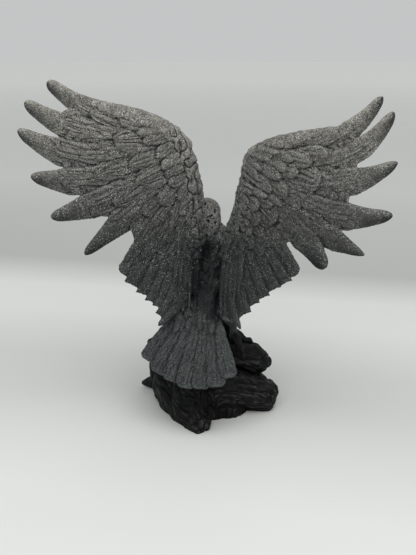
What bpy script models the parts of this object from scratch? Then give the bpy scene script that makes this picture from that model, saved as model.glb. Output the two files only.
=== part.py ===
"""An eagle with raised wings on a gnarled driftwood stump: two cast pieces, the bird and its base.

Sizes are millimetres. X is the bird's right, Y is the way it faces, and Z is up. The origin is on the
stump's flat underside, below the bird's back.
"""

import math

import bmesh
import bpy
import mathutils
import numpy as np

MM = 0.001

# Driving dimensions of the stump
PERCH_TOP = 69.0
PERCH_RADIUS = 15.0
PERCH_FORWARD = 12.0
STUMP_LENGTH = 148.0
STUMP_DEPTH = 124.0
BARK_GROOVE = 0.07

# Driving dimensions of the eagle
EAGLE_HEIGHT = 266.0
FOOT_SPREAD = 13.5
FEATHER_THICKNESS = 5.4
MEMBRANE_THICKNESS = 3.6
ARM_THICKNESS = 13.0
TAIL_THICKNESS = 4.8
TOE_RADIUS = 4.0

# How closely the two castings meet, and how finely each is cut
SEAT_GAP = 0.5
TOE_SINK = 1.2
EAGLE_VOXEL = 1.0
EAGLE_TRIANGLES = 7700
STUMP_VOXEL = 2.0
STUMP_TRIANGLES = 1500
STUMP_WEAR = 5

# The eagle is drawn this tall, standing with its feet at this point of the drawing
DRAWN_HEIGHT = 266.0
DRAWN_FOOT = np.array((0.0, 12.0, 69.0))

# Shape of a wing's surface: how far back it sweeps and leans, in the drawing
WING_BACK = -24.0
SHOULDER_Z = 180.0
SWEEP = 0.33
CAMBER = 8.0
WING_REACH = 165.0
LEAN_BELOW = 0.30
LEAN_ABOVE = 0.10
LEAN_BLEND = 22.0

# A flight feather: root, where it leaves its neighbours, tip, half-width there and at the tip.
# Each point is the distance out from the bird's middle, then the height.
LEFT_FEATHERS = (
    ((50, 291), (106, 310.5), (132.5, 331.5), 10.2, 5.2),
    ((42, 286), (119.5, 292.5), (153.5, 314), 12.6, 5.3),
    ((35, 280), (129, 271), (162, 289.7), 13.6, 5.0),
    ((31, 272), (123.5, 243.5), (155, 248), 13.5, 5.0),
    ((28, 262), (106.5, 219.8), (140.3, 209.5), 13.0, 4.8),
    ((26, 250), (79, 204.5), (111.5, 174.5), 12.2, 3.4),
    ((24, 238), (54.5, 190.5), (77, 155.5), 10.6, 8.2),
    ((23, 228), (48.5, 180.5), (69, 146.5), 9.5, 7.2),
    ((22, 218), (43, 171), (59, 137.5), 9.0, 5.4),
    ((21, 208), (38, 162), (52, 130.5), 8.5, 5.2),
    ((20, 199), (33, 153), (46, 125.5), 8.5, 4.6),
    ((18, 190), (28, 145), (43, 117), 8.5, 4.0),
    ((16, 181), (23, 137), (44, 107.5), 8.0, 2.6),
)
RIGHT_FEATHERS = (
    ((58, 277), (127, 297), (149.5, 324), 8.8, 3.4),
    ((50, 272), (137, 283), (159, 312), 9.6, 3.8),
    ((44, 266), (131.5, 254), (164.5, 272), 12.4, 3.4),
    ((41, 258), (126.5, 222.8), (163.5, 227.3), 13.4, 4.6),
    ((39, 248), (117, 200.5), (142.5, 190), 11.6, 2.4),
    ((37, 238), (90.5, 198), (109, 174), 14.0, 6.3),
    ((35, 228), (66, 186), (84, 165), 10.5, 7.4),
    ((33, 219), (58, 177.5), (74, 157), 9.5, 7.0),
    ((31, 210), (50, 170), (64, 150), 9.5, 6.4),
    ((28, 202), (43, 161), (54, 141), 9.0, 6.0),
    ((25, 195), (36, 151), (45, 133), 9.0, 5.8),
    ((21, 188), (30, 142), (37, 123), 8.5, 5.0),
    ((17, 180), (20.5, 134), (33.5, 108), 6.8, 2.0),
)
# The arm that carries them: distance out, height and half-width along it
LEFT_ARM = (
    (16, 166, 9), (17, 182, 11), (17.5, 205, 11), (19.8, 240, 11), (25.2, 265, 11), (31, 279, 10.5),
    (46.5, 293, 9), (67, 302.2, 7.5), (89.5, 309.7, 5.5), (116, 320.3, 3.8),
)
RIGHT_ARM = (
    (17, 166, 9), (20, 182, 10.5), (31, 211, 11), (36.7, 232, 11), (39.7, 246, 11), (41.5, 259, 10.5),
    (46.5, 268, 10), (62, 278.5, 8), (82, 285.3, 7), (100, 291.2, 5), (118, 295.5, 4),
)
# Rows of coverts: how many, the share of a flight feather's length where they start and end, and
# how far they lift off the wing's middle at each end
COVERT_ROWS = (
    (11, 0.16, 0.56, 1.0, 2.6),
    (12, 0.02, 0.34, 2.8, 4.4),
    (10, -0.03, 0.2, 5.2, 5.8),
    (11, 0.05, 0.46, -1.6, -2.6),
)
# A feather's section, round its edge: shares of its half-width and of its half-thickness
FEATHER_SECTION = (
    (1, 0), (0.55, 0.75), (0, 1.15), (-0.55, 0.75), (-1, 0), (-0.55, -0.75), (0, -1), (0.55, -0.75),
)
FEATHER_ROLL = 1.6
QUILL_HALF_WIDTH = 5.5
COVERT_THICKNESS = 3.2
COVERT_ROLL = 1.0
# The short flight feathers near the body lie flatter, and their ends are cut at a slant, so that the
# wing's lower edge steps down from one hooked corner to the next
FIRST_SHORT = 6
SHORT_THICKNESS = 4.6
SHORT_ROLL = 0.8
CUT_OVERLAP = 0.31

# The torso from the tail root up to the neck: sideways, forward, height, half-width and half-depth
TORSO = (
    (-6, -50, 105, 11, 5), (-5.5, -44, 111, 17, 9), (-4.5, -33, 118, 21, 14), (-3, -22, 128, 25, 22),
    (-2, -13, 142, 28, 26), (-1, -7, 158, 29, 27), (-1, -2, 172, 26, 25), (-6, 3, 184, 15.5, 19.5),
    (-11, 6, 194, 10.8, 14.5), (-14.5, 9, 202, 10.5, 12.5),
)
# The mass that joins each wing to the back: sideways, forward, height and radius
SCAPULAR = (
    (13, -10, 184, 6), (18, -20, 174, 13), (21, -28, 154, 12.5), (21, -36, 134, 10.5), (20, -43, 119, 9.5),
    (17, -47, 110, 6.5),
)

# The head in its own frame: forward, height of the middle, half-width and half-height
HEAD_AT = (-15.5, 10.0, 201.5)
HEAD_TURN = math.radians(35)
HEAD_NOD = math.radians(-8)
SKULL = (
    (-15.5, -3, 6, 7), (-12, -0.5, 11, 11.5), (-5, 0.8, 13.5, 13), (4, 1, 12.8, 12), (11, 1, 9.6, 9.5),
    (17, 0.5, 6, 6.5),
)
UPPER_BEAK = (
    (13, 1.5, 5.6, 5.4), (19, 2.4, 4.6, 5.0), (25, 1.2, 3.6, 4.4), (29.5, -2.4, 2.5, 3.1), (31, -9, 0.8, 0.9),
)
LOWER_BEAK = ((11, -5.4, 5, 3.2), (18, -5.4, 3.8, 2.4), (24.5, -5.8, 1.8, 1.5))
# Brow and eye: sideways, forward, height and radius
BROW = ((6.5, 1, 9.2, 2.4), (8.8, 9, 8.0, 2.6), (6.4, 16.5, 5.4, 1.6))
EYE = (8.0, 10.5, 3.6, 2.9)

# The tail fan: its root, its slope, and each feather's start and tip, across and down from the root,
# with its half-width
TAIL_ROOT = (-5.5, -44.0, 112.0)
TAIL_SLOPE = math.radians(54)
TAIL_FEATHERS = (
    ((-23, -3), (-49.5, 47), 10.4), ((-11, -4), (-38, 58.5), 10.4), ((-5, -6), (-23, 65.5), 10.6),
    ((-2, -6), (-8.5, 71), 10.2), ((2, -6), (6.5, 70.5), 9.8), ((6, -6), (20.5, 67), 10.2),
    ((9, -5), (32, 57), 8.6),
)
TAIL_MIDDLE = -8.0
TAIL_QUILL = 4.5
TAIL_DROOP = 0.0012
TAIL_ROLL = 0.6

# The leg from hip to foot: share of the foot spread, forward, height above the perch, half-width
# and half-depth
LEG = (
    (0.66, -6, 66, 9.5, 16), (0.64, -4, 52, 9, 15.5), (0.68, 0, 38, 7, 12), (0.82, 4, 29, 5.4, 8.0),
    (0.97, 7.5, 19, 4.0, 5.0), (1.02, 10, 11, 3.8, 4.2), (1.02, 11, 6, 4.0, 4.4), (1.0, 12, 3, 5.0, 5.2),
)
# Toes: the way each one points from straight ahead, outwards, and its length as a share of the longest
TOES = ((-22, 0.9), (12, 1.0), (75, 0.72), (140, 0.8))
TOE_LENGTH = 19.0
TOE_ARCH = 3.0
# Along a toe: share of its length, share of its radius, share of its arch
TOE_JOINTS = ((0.0, 1.0, 0.0), (0.45, 1.15, 1.0), (0.75, 0.86, 0.4), (1.0, 0.8, 0.0))
TALON_LENGTH = 10.0
# Along a talon: shares of its length forward and down from the toe's end, then its radius
TALON = ((-0.2, 0.0, 2.8), (0.34, -0.08, 2.7), (0.6, 0.45, 2.2), (0.56, 1.0, 1.2))

# The stump's perch from left to right: share of its length, share of its depth forward of the feet,
# drop of its top as a share of the perch height, and share of the perch radius
PERCH = (
    (-0.525, 0.05, 0.18, 0.3), (-0.505, 0.05, 0.1, 0.58), (-0.45, 0.05, 0.06, 0.82),
    (-0.38, 0.04, 0.04, 0.95), (-0.28, 0.02, 0.0, 0.97), (-0.14, 0.0, 0.0, 0.98), (0.0, 0.0, 0.0, 1.0),
    (0.09, 0.0, 0.01, 1.0), (0.17, 0.0, 0.05, 0.96), (0.265, 0.01, 0.1, 0.95), (0.322, 0.015, 0.145, 0.6),
    (0.345, 0.02, 0.19, 0.3),
)

# The stump's other limbs: trunk, left wall, the long root from the right to the near tip, the shoulder
# between that and the left wall, left spike, two far roots, and the broken stub before the shins. Each
# point is a share of its length, depth and perch height, then a share of the perch radius.
LIMBS = (
    (
        (-0.03, 0.08, 0.74, 1.15), (-0.05, 0.03, 0.42, 2.1), (-0.07, -0.02, 0.1, 2.6),
        (-0.07, -0.02, -0.25, 2.7),
    ),
    ((-0.41, 0.12, 0.7, 0.85), (-0.385, 0.11, 0.42, 1.25), (-0.33, 0.07, 0.1, 1.3), (-0.32, 0.07, -0.2, 1.3)),
    (
        (0.41, 0.0, 0.18, 0.55), (0.345, 0.0, 0.21, 1.05), (0.22, -0.015, 0.26, 1.28),
        (0.05, -0.075, 0.33, 1.55), (-0.095, -0.17, 0.33, 1.7), (-0.13, -0.3, 0.17, 1.35),
        (-0.085, -0.41, 0.09, 1.02), (-0.01, -0.525, 0.03, 0.55),
    ),
    ((-0.38, 0.06, 0.4, 1.0), (-0.33, -0.04, 0.22, 1.15), (-0.24, -0.17, 0.13, 1.2), (-0.15, -0.3, 0.06, 1.1)),
    ((-0.28, 0.08, 0.26, 1.1), (-0.38, 0.12, 0.2, 0.8), (-0.49, 0.17, 0.14, 0.56), (-0.605, 0.2, 0.07, 0.2)),
    ((-0.1, 0.1, 0.4, 1.7), (-0.17, 0.28, 0.22, 1.2), (-0.24, 0.44, 0.1, 0.6)),
    ((0.08, 0.1, 0.36, 1.5), (0.18, 0.27, 0.2, 1.05), (0.27, 0.4, 0.08, 0.5)),
    ((0.0, 0.12, 0.7, 0.95), (0.01, 0.19, 0.98, 0.72), (0.03, 0.22, 1.2, 0.5), (0.035, 0.225, 1.31, 0.3)),
)


def blend(points, share):
    """A point at a share of the way along a smooth line through points, evenly timed."""
    points = np.asarray(points, float)
    at = share * (len(points) - 1)
    i = min(int(at), len(points) - 2)
    t = at - i
    before = points[max(i - 1, 0)]
    after = points[min(i + 2, len(points) - 1)]
    a, b = points[i], points[i + 1]
    slope_a = (b - before) / 2
    slope_b = (after - a) / 2
    t2, t3 = t * t, t * t * t
    level = (2 * t3 - 3 * t2 + 1) * a + (3 * t2 - 2 * t3) * b
    return level + (t3 - 2 * t2 + t) * slope_a + (t3 - t2) * slope_b


def stand(point):
    """Takes a point of the drawing to its place in metres, with the eagle's feet on the perch."""
    scale = EAGLE_HEIGHT / DRAWN_HEIGHT
    feet = np.array((0.0, PERCH_FORWARD, PERCH_TOP))
    return (feet + (np.asarray(point, float) - DRAWN_FOOT) * scale) * MM


def loft(shape, rings):
    """Adds one closed shell through rings of equal point count, with flat ends."""
    loops = [[shape.verts.new(p) for p in ring] for ring in rings]
    count = len(loops[0])
    for near, far in zip(loops, loops[1:]):
        for i in range(count):
            j = (i + 1) % count
            shape.faces.new((near[i], near[j], far[j], far[i]))
    shape.faces.new(loops[0][::-1])
    shape.faces.new(loops[-1])


def tube(shape, place, centres, radii, sides=12):
    """Lofts ellipses along centres. Each has a half-width across and a half-depth up from the line."""
    centres = np.asarray(centres, float)
    tangents = np.gradient(centres, axis=0)
    rings = []
    for centre, tangent, (wide, deep) in zip(centres, tangents, radii):
        along = tangent / np.linalg.norm(tangent)
        across = np.cross(along, (0.0, 0.0, 1.0))
        if np.linalg.norm(across) < 0.35:
            across = np.array((1.0, 0.0, 0.0))
        across = across / np.linalg.norm(across)
        up = np.cross(across, along)
        angles = np.linspace(0, 2 * math.pi, sides, endpoint=False)
        rings.append([place(centre + wide * math.cos(a) * across + deep * math.sin(a) * up) for a in angles])
    loft(shape, rings)


def ball(shape, place, centre, radii):
    """Adds an ellipsoid."""
    made = bmesh.ops.create_uvsphere(shape, u_segments=12, v_segments=8, radius=1.0)
    for vert in made["verts"]:
        vert.co = place(np.asarray(centre) + np.array(vert.co) * np.asarray(radii))


def wing_depth(out, height):
    """How far forward the wing's middle surface lies, at a distance out and a height."""
    above = height - SHOULDER_Z
    bend = math.hypot(above, LEAN_BLEND)
    lean = LEAN_BELOW * (above - bend) / 2 - LEAN_ABOVE * (above + bend) / 2
    sweep = SWEEP * out + CAMBER * math.sin(math.pi * min(max(out / WING_REACH, 0), 1))
    return WING_BACK + lean - sweep


def wing_point(side, out, height, lift):
    """A point of a wing, lifted off its middle surface towards the bird's back."""
    step = 0.5
    slope_out = (wing_depth(out + step, height) - wing_depth(out - step, height)) / (2 * step)
    slope_up = (wing_depth(out, height + step) - wing_depth(out, height - step)) / (2 * step)
    normal = np.array((side * slope_out, -1.0, slope_up))
    normal = normal / np.linalg.norm(normal)
    return np.array((side * out, wing_depth(out, height), height)) + lift * normal


def feather(shape, place, line, half_width, thickness, lift, roll, edge=None, stations=9):
    """Lofts a blade along line(t), raised by lift(t), with one side rolled up and its end cut along edge."""
    rings = []
    for t in np.linspace(0, 1, stations):
        here = line(t)
        ahead = line(min(t + 0.02, 1.0)) - line(max(t - 0.02, 0.0))
        across = np.array((-ahead[1], ahead[0])) / np.linalg.norm(ahead)
        wide = half_width(t)
        if edge is not None:
            turned = min(max((t - 0.72) / 0.28, 0), 1) ** 1.5
            across = across * (1 - turned) + edge / np.linalg.norm(edge) * turned
            across = across / np.linalg.norm(across)
            wide = wide * (1 - turned) + CUT_OVERLAP * np.linalg.norm(edge) * turned
        thick = thickness / 2 * min(1.0, 0.45 + wide / 7)
        ring = []
        for share, rise in FEATHER_SECTION:
            at = here + share * wide * across
            ring.append(place(at[0], at[1], lift(t) + rise * thick + roll * share * min(wide / 8, 1)))
        rings.append(ring)
    loft(shape, rings)


def through(root, middle, tip):
    """A curve from root to tip that passes middle, and the share of its length where it does."""
    root, middle, tip = (np.asarray(p, float) for p in (root, middle, tip))
    first, last = np.linalg.norm(middle - root), np.linalg.norm(tip - middle)
    at = first / (first + last)
    bow = (middle - (1 - at) ** 2 * root - at**2 * tip) / (2 * at * (1 - at))
    return (lambda t: (1 - t) ** 2 * root + 2 * t * (1 - t) * bow + t**2 * tip), at


def finger_width(root_width, middle_width, tip_width, at):
    """Half-width along a flight feather: widest where it leaves its neighbours, then down to its tip."""

    def width(t):
        if t < at:
            return root_width + (middle_width - root_width) * math.sin(math.pi / 2 * t / at)
        taper = (t - at) / (1 - at)
        wide = middle_width + (tip_width - middle_width) * taper**0.9
        return wide * (1.0 if t < 0.96 else 0.72)

    return width


def cut_edge(feathers, number):
    """Which way a short feather's end is cut: between square to it and the line of its neighbours' tips."""
    middle, tip = (np.array(feathers[number][k], float) for k in (1, 2))
    along_tips = np.array(feathers[number - 1][2], float) - np.array(feathers[number + 1][2], float)
    ahead = (tip - middle) / np.linalg.norm(tip - middle)
    apart = np.linalg.norm(along_tips)
    edge = along_tips + 0.9 * apart * np.array((-ahead[1], ahead[0]))
    return edge * apart / np.linalg.norm(edge)


def wing(shape, side, feathers, arm):
    """One wing: its arm, a thin skin between the feathers, the flight feathers and rows of coverts."""

    def place(out, height, lift):
        return stand(wing_point(side, out, height, lift))

    def flight_line(share):
        keys = [np.array((*root, *middle, *tip)) for root, middle, tip, _, _ in feathers]
        mixed = blend(keys, share)
        return through(mixed[0:2], mixed[2:4], mixed[4:6])

    rings = []
    for share in np.linspace(0, 1, 19):
        out, height, wide = blend(arm, share)
        ahead = (blend(arm, min(share + 0.02, 1)) - blend(arm, max(share - 0.02, 0)))[:2]
        across = np.array((-ahead[1], ahead[0])) / np.linalg.norm(ahead)
        thick = ARM_THICKNESS / 2 * min(1.0, wide / 9)
        ring = []
        for angle in np.linspace(0, 2 * math.pi, 12, endpoint=False):
            at = np.array((out, height)) + wide * math.cos(angle) * across
            ring.append(place(at[0], at[1], thick * math.sin(angle)))
        rings.append(ring)
    loft(shape, rings)

    top, bottom = [], []
    for share in np.linspace(0, 1, 33):
        line, at = flight_line(share)
        row = [line(t) for t in np.linspace(0, at * 0.97, 9)]
        top.append([shape.verts.new(place(p[0], p[1], MEMBRANE_THICKNESS / 2)) for p in row])
        bottom.append([shape.verts.new(place(p[0], p[1], -MEMBRANE_THICKNESS / 2)) for p in row])
    skin(shape, top, bottom)

    for number, (root, middle, tip, wide, tip_wide) in enumerate(feathers):
        line, at = through(root, middle, tip)
        width = finger_width(QUILL_HALF_WIDTH, wide, tip_wide, at)
        short = number >= FIRST_SHORT
        thick, roll = (SHORT_THICKNESS, SHORT_ROLL) if short else (FEATHER_THICKNESS, FEATHER_ROLL)
        edge = cut_edge(feathers, number) if FIRST_SHORT < number < len(feathers) - 1 else None

        def settle_back(t):
            return 0.6 * (1 - t)

        feather(shape, place, line, width, thick, settle_back, roll, edge, stations=13)

    for count, start, end, low, high in COVERT_ROWS:
        for i in range(round(count)):
            share = (i + 0.5) / count
            line, _ = flight_line(share)
            sides = [flight_line(min(max(share + half / count, 0), 1))[0](end) for half in (-0.5, 0.5)]
            spacing = np.linalg.norm(sides[1] - sides[0])

            def path(t, line=line, start=start, end=end):
                return line(start + (end - start) * t)

            def width(t, spacing=spacing):
                round_off = math.sqrt(max(1 - (1.25 * t - 0.35) ** 2, 0)) * (0.62 if t > 0.97 else 1.0)
                return max(spacing * 0.62 * round_off, 1.2)

            def lift(t, low=low, high=high):
                return low + (high - low) * t

            feather(shape, place, path, width, COVERT_THICKNESS, lift, COVERT_ROLL, stations=7)


def skin(shape, top, bottom):
    """Closes two grids of vertices into one thin slab."""
    rows, columns = len(top), len(top[0])
    for grid, turned in ((top, False), (bottom, True)):
        for i in range(rows - 1):
            for j in range(columns - 1):
                quad = [grid[i][j], grid[i + 1][j], grid[i + 1][j + 1], grid[i][j + 1]]
                shape.faces.new(quad[::-1] if turned else quad)
    rim = [(i, 0) for i in range(rows - 1)] + [(rows - 1, j) for j in range(columns - 1)]
    rim += [(i, columns - 1) for i in range(rows - 1, 0, -1)] + [(0, j) for j in range(columns - 1, 0, -1)]
    for (i, j), (k, m) in zip(rim, rim[1:] + rim[:1]):
        shape.faces.new((top[i][j], bottom[i][j], bottom[k][m], top[k][m]))


def torso(shape):
    """The trunk of the body up to the neck, and the two masses that carry the wings."""
    tube(shape, stand, [row[:3] for row in TORSO], [row[3:] for row in TORSO], sides=16)
    for side in (-1, 1):
        centres = [(side * row[0], *row[1:3]) for row in SCAPULAR]
        tube(shape, stand, centres, [(row[3], row[3]) for row in SCAPULAR])


def head(shape):
    """The skull, hooked beak, brows and eyes, turned to look over the left shoulder."""
    turned = mathutils.Matrix.Rotation(HEAD_TURN, 3, "Z") @ mathutils.Matrix.Rotation(HEAD_NOD, 3, "X")
    pose = np.array(turned)

    def place(point):
        return stand(np.array(HEAD_AT) + pose @ np.asarray(point, float))

    for part in (SKULL, UPPER_BEAK, LOWER_BEAK):
        tube(shape, place, [(0, row[0], row[1]) for row in part], [row[2:] for row in part])
    for side in (-1, 1):
        centres = [(side * row[0], *row[1:3]) for row in BROW]
        tube(shape, place, centres, [(row[3], row[3] * 0.8) for row in BROW], sides=8)
        ball(shape, place, (side * EYE[0], *EYE[1:3]), (EYE[3], EYE[3], EYE[3]))


def tail(shape):
    """The fan of tail feathers, hung down and back from the rump."""
    along = np.array((0, -math.cos(TAIL_SLOPE), -math.sin(TAIL_SLOPE)))
    out = np.array((0, -math.sin(TAIL_SLOPE), math.cos(TAIL_SLOPE)))

    def place(across, down, lift):
        point = np.array(TAIL_ROOT) + across * np.array((1.0, 0, 0)) + down * along
        return stand(point + (lift - TAIL_DROOP * across**2) * out)

    for start, tip, half_width in TAIL_FEATHERS:
        start, tip = np.array(start, float), np.array(tip, float)

        def line(t, start=start, tip=tip):
            return start + (tip - start) * t

        def width(t, half_width=half_width):
            corner = 1.0 if t < 0.9 else 0.93 if t < 0.97 else 0.7
            return (TAIL_QUILL + (half_width - TAIL_QUILL) * t**0.8) * corner

        lift = 2.2 * (1 - abs(tip[0] - TAIL_MIDDLE) / 42)
        feather(shape, place, line, width, TAIL_THICKNESS, lambda t, lift=lift: lift, TAIL_ROLL, stations=9)


def perch_section(across):
    """The perch's forward middle, height of its middle, and radius, at a distance across."""
    rows = np.array(PERCH)
    forward = np.interp(across, rows[:, 0] * STUMP_LENGTH, PERCH_FORWARD + rows[:, 1] * STUMP_DEPTH)
    top = np.interp(across, rows[:, 0] * STUMP_LENGTH, PERCH_TOP * (1 - rows[:, 2]))
    radius = np.interp(across, rows[:, 0] * STUMP_LENGTH, PERCH_RADIUS * rows[:, 3])
    return forward, top - radius, radius


def resting_height(at, radius):
    """Height of the centre of a toe of this radius where it lies on the perch."""
    forward, middle, perch_radius = perch_section(at[0])
    reach = perch_radius + radius - TOE_SINK
    return middle + math.sqrt(max(reach**2 - (at[1] - forward) ** 2, (0.25 * reach) ** 2))


def legs(shape):
    """Feathered thighs, bare shanks, and toes that close round the perch."""
    scale = EAGLE_HEIGHT / DRAWN_HEIGHT

    def metres(point):
        return np.asarray(point, float) * MM

    for side in (-1, 1):
        foot = np.array((side * FOOT_SPREAD, PERCH_FORWARD, 0.0))
        centres, radii = [], []
        for share, forward, above, wide, deep in LEG:
            forward_of_foot = (forward - DRAWN_FOOT[1]) * scale
            ahead = PERCH_FORWARD + forward_of_foot
            centres.append((side * share * FOOT_SPREAD, ahead, PERCH_TOP + above * scale))
            radii.append((wide * scale, deep * scale))
        tube(shape, metres, centres, radii)
        for degrees, share in TOES:
            angle = math.radians(degrees)
            way = np.array((side * math.sin(angle), math.cos(angle), 0.0))
            points, sizes = [], []
            for reach, thick, arch in TOE_JOINTS:
                at = foot + way * reach * share * TOE_LENGTH
                radius = TOE_RADIUS * thick
                at[2] = resting_height(at, radius) + arch * TOE_ARCH
                points.append(at)
                sizes.append((radius, radius))
            tube(shape, metres, points, sizes, sides=8)
            down = np.array((0.0, 0.0, -1.0))
            claw = [points[-1] + TALON_LENGTH * (ahead * way + below * down) for ahead, below, _ in TALON]
            tube(shape, metres, claw, [(radius, radius) for _, _, radius in TALON], sides=8)


def limb_ring(centre, across, up, radius, turn, sides=18):
    """One cross-section of a limb, with the weathered grooves of driftwood round it."""
    ring = []
    for k in range(sides):
        angle = 2 * math.pi * k / sides
        groove = math.sin(5 * angle + turn) + 0.6 * math.sin(3 * angle - 1.7 * turn)
        size = radius * (1 + BARK_GROOVE * groove)
        ring.append((centre + size * math.cos(angle) * across + size * math.sin(angle) * up) * MM)
    return ring


def stump_limbs(shape):
    """Every limb of the stump, as lofts that run into each other."""
    sizes = np.array((STUMP_LENGTH, STUMP_DEPTH, PERCH_TOP, PERCH_RADIUS))
    perch = [(x, *perch_section(x)) for x in (row[0] * STUMP_LENGTH for row in PERCH)]
    for number, path in enumerate([perch] + [[np.array(p) * sizes for p in limb] for limb in LIMBS]):
        stations = 3 * len(path)
        line = [blend(path, s) for s in np.linspace(0, 1, stations)]
        rings = []
        for k, p in enumerate(line):
            tangent = line[min(k + 1, stations - 1)][:3] - line[max(k - 1, 0)][:3]
            along = tangent / np.linalg.norm(tangent)
            helper = (1.0, 0, 0) if abs(along[2]) > 0.7 else (0, 0, 1.0)
            across = np.cross(along, helper)
            across = across / np.linalg.norm(across)
            up = np.cross(across, along)
            rings.append(limb_ring(p[:3], across, up, p[3], number * 1.3 + 0.09 * k))
        loft(shape, rings)


def cast(name, build, voxel, triangles, wear=0):
    """Fuses the shells that build() adds into one closed casting, worn smooth by a number of turns, and
    thinned to about this many triangles."""
    shape = bmesh.new()
    build(shape)
    bmesh.ops.recalc_face_normals(shape, faces=shape.faces)
    mesh = bpy.data.meshes.new(name)
    shape.to_mesh(mesh)
    shape.free()
    piece = bpy.data.objects.new(name, mesh)
    collection.objects.link(piece)
    fuse = piece.modifiers.new("fuse", "REMESH")
    fuse.mode = "VOXEL"
    fuse.voxel_size = voxel * MM
    smooth = piece.modifiers.new("wear", "SMOOTH")
    smooth.iterations = wear
    thin = piece.modifiers.new("thin", "DECIMATE")
    settle(piece, "fuse")
    settle(piece, "wear")
    thin.ratio = min(1.0, triangles / (2 * len(piece.data.polygons)))
    settle(piece, "thin")
    return piece


def settle(piece, name):
    """Applies one modifier."""
    for modifier in piece.modifiers:
        modifier.show_viewport = modifier.name == name
    evaluated = piece.evaluated_get(bpy.context.evaluated_depsgraph_get())
    mesh = bpy.data.meshes.new_from_object(evaluated)
    piece.modifiers.remove(piece.modifiers[name])
    piece.data = mesh


def cutter(name, mesh):
    """An object that only cuts."""
    tool = bpy.data.objects.new(name, mesh)
    tool.hide_render = True
    tool.display_type = "WIRE"
    cutters.objects.link(tool)
    return tool


def cut(piece, tool):
    """Takes tool out of piece."""
    difference = piece.modifiers.new("cut_" + tool.name, "BOOLEAN")
    difference.operation = "DIFFERENCE"
    difference.use_self = True
    difference.object = tool


def floor_box():
    """A block below the floor, which cuts the stump's underside flat."""
    block = bmesh.new()
    bmesh.ops.create_cube(block, size=1.0)
    for vert in block.verts:
        x, y, z = vert.co
        vert.co = (x * 3 * STUMP_LENGTH * MM, y * 3 * STUMP_DEPTH * MM, (z - 0.5) * PERCH_TOP * MM)
    mesh = bpy.data.meshes.new("below_floor")
    block.to_mesh(mesh)
    block.free()
    return mesh


def swollen(piece, gap):
    """A copy of a piece's mesh, grown by a gap all over."""
    mesh = piece.data.copy()
    grown = bmesh.new()
    grown.from_mesh(mesh)
    bmesh.ops.recalc_face_normals(grown, faces=grown.faces)
    grown.normal_update()
    moved = [vert.co + vert.normal * gap * MM * vert.calc_shell_factor() for vert in grown.verts]
    for vert, place in zip(grown.verts, moved):
        vert.co = place
    grown.to_mesh(mesh)
    grown.free()
    return mesh


def paint(piece, colour, roughness, metallic):
    """Gives a piece its finish and shades it smooth between its sharper edges."""
    finish = bpy.data.materials.new(piece.name)
    finish.use_nodes = True
    shader = finish.node_tree.nodes["Principled BSDF"]
    shader.inputs["Base Color"].default_value = (*colour, 1.0)
    shader.inputs["Roughness"].default_value = roughness
    shader.inputs["Metallic"].default_value = metallic
    piece.data.materials.append(finish)
    piece.data.shade_smooth()
    piece.data.set_sharp_from_angle(angle=math.radians(45))


def eagle(shape):
    """The whole bird, cast as one."""
    wing(shape, -1, LEFT_FEATHERS, LEFT_ARM)
    wing(shape, 1, RIGHT_FEATHERS, RIGHT_ARM)
    torso(shape)
    head(shape)
    tail(shape)
    legs(shape)


for old in list(bpy.data.objects):
    bpy.data.objects.remove(old)
collection = bpy.data.collections.new("eagle_sculpture")
cutters = bpy.data.collections.new("cutters")
bpy.context.scene.collection.children.link(collection)
bpy.context.scene.collection.children.link(cutters)

bird = cast("eagle", eagle, EAGLE_VOXEL, EAGLE_TRIANGLES)
stump = cast("driftwood_base", stump_limbs, STUMP_VOXEL, STUMP_TRIANGLES, STUMP_WEAR)
cut(stump, cutter("below_floor", floor_box()))
cut(stump, cutter("feet_seat", swollen(bird, SEAT_GAP)))
paint(bird, (0.055, 0.058, 0.056), 0.55, 0.25)
paint(stump, (0.008, 0.008, 0.009), 0.6, 0.0)
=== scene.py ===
import math

import bpy
import numpy as np
from mathutils import Matrix, Vector, noise
from mathutils.bvhtree import BVHTree


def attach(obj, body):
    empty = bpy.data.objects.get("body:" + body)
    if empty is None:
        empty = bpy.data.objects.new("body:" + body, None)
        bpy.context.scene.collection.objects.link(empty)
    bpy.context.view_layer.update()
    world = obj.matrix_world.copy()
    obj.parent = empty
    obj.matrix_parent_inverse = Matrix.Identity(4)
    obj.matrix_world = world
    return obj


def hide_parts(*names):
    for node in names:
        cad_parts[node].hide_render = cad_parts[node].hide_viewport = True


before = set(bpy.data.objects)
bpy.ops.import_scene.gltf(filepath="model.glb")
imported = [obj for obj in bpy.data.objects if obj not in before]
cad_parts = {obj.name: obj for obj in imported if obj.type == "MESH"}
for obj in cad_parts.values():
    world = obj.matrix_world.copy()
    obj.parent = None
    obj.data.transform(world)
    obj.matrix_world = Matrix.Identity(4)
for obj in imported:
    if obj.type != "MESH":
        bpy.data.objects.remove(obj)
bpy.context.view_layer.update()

# The stump. Driftwood with a thick perch, a spike, a broken stub and spreading roots, cast in resin with a
# flat underside. It is painted matt black, and the paint is rubbed brown and paler along the raised grain.
# Sizes are millimetres, from the point of the underside below the bird's back.
MM = 0.001
PERCH_TOP, PERCH_RADIUS, PERCH_FORWARD = 69.0, 15.0, 12.0
STUMP_LENGTH, STUMP_DEPTH = 148.0, 124.0
BARK_GROOVE = 0.07
# How finely it is built, how many triangles it keeps, and how far the wood's edges are worn round
STUMP_VOXEL, STUMP_TRIANGLES, STUMP_WEAR = 0.8, 150000, 5
# How high the lumps and the waves along the grain stand, how deep the wide and the fine cracks go, and how
# far the whole is filled out for them
LUMP, WAVE, WIDE_CRACK, FINE_CRACK, FILLING = 2.0, 1.1, 1.4, 0.3, 0.4
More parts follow.
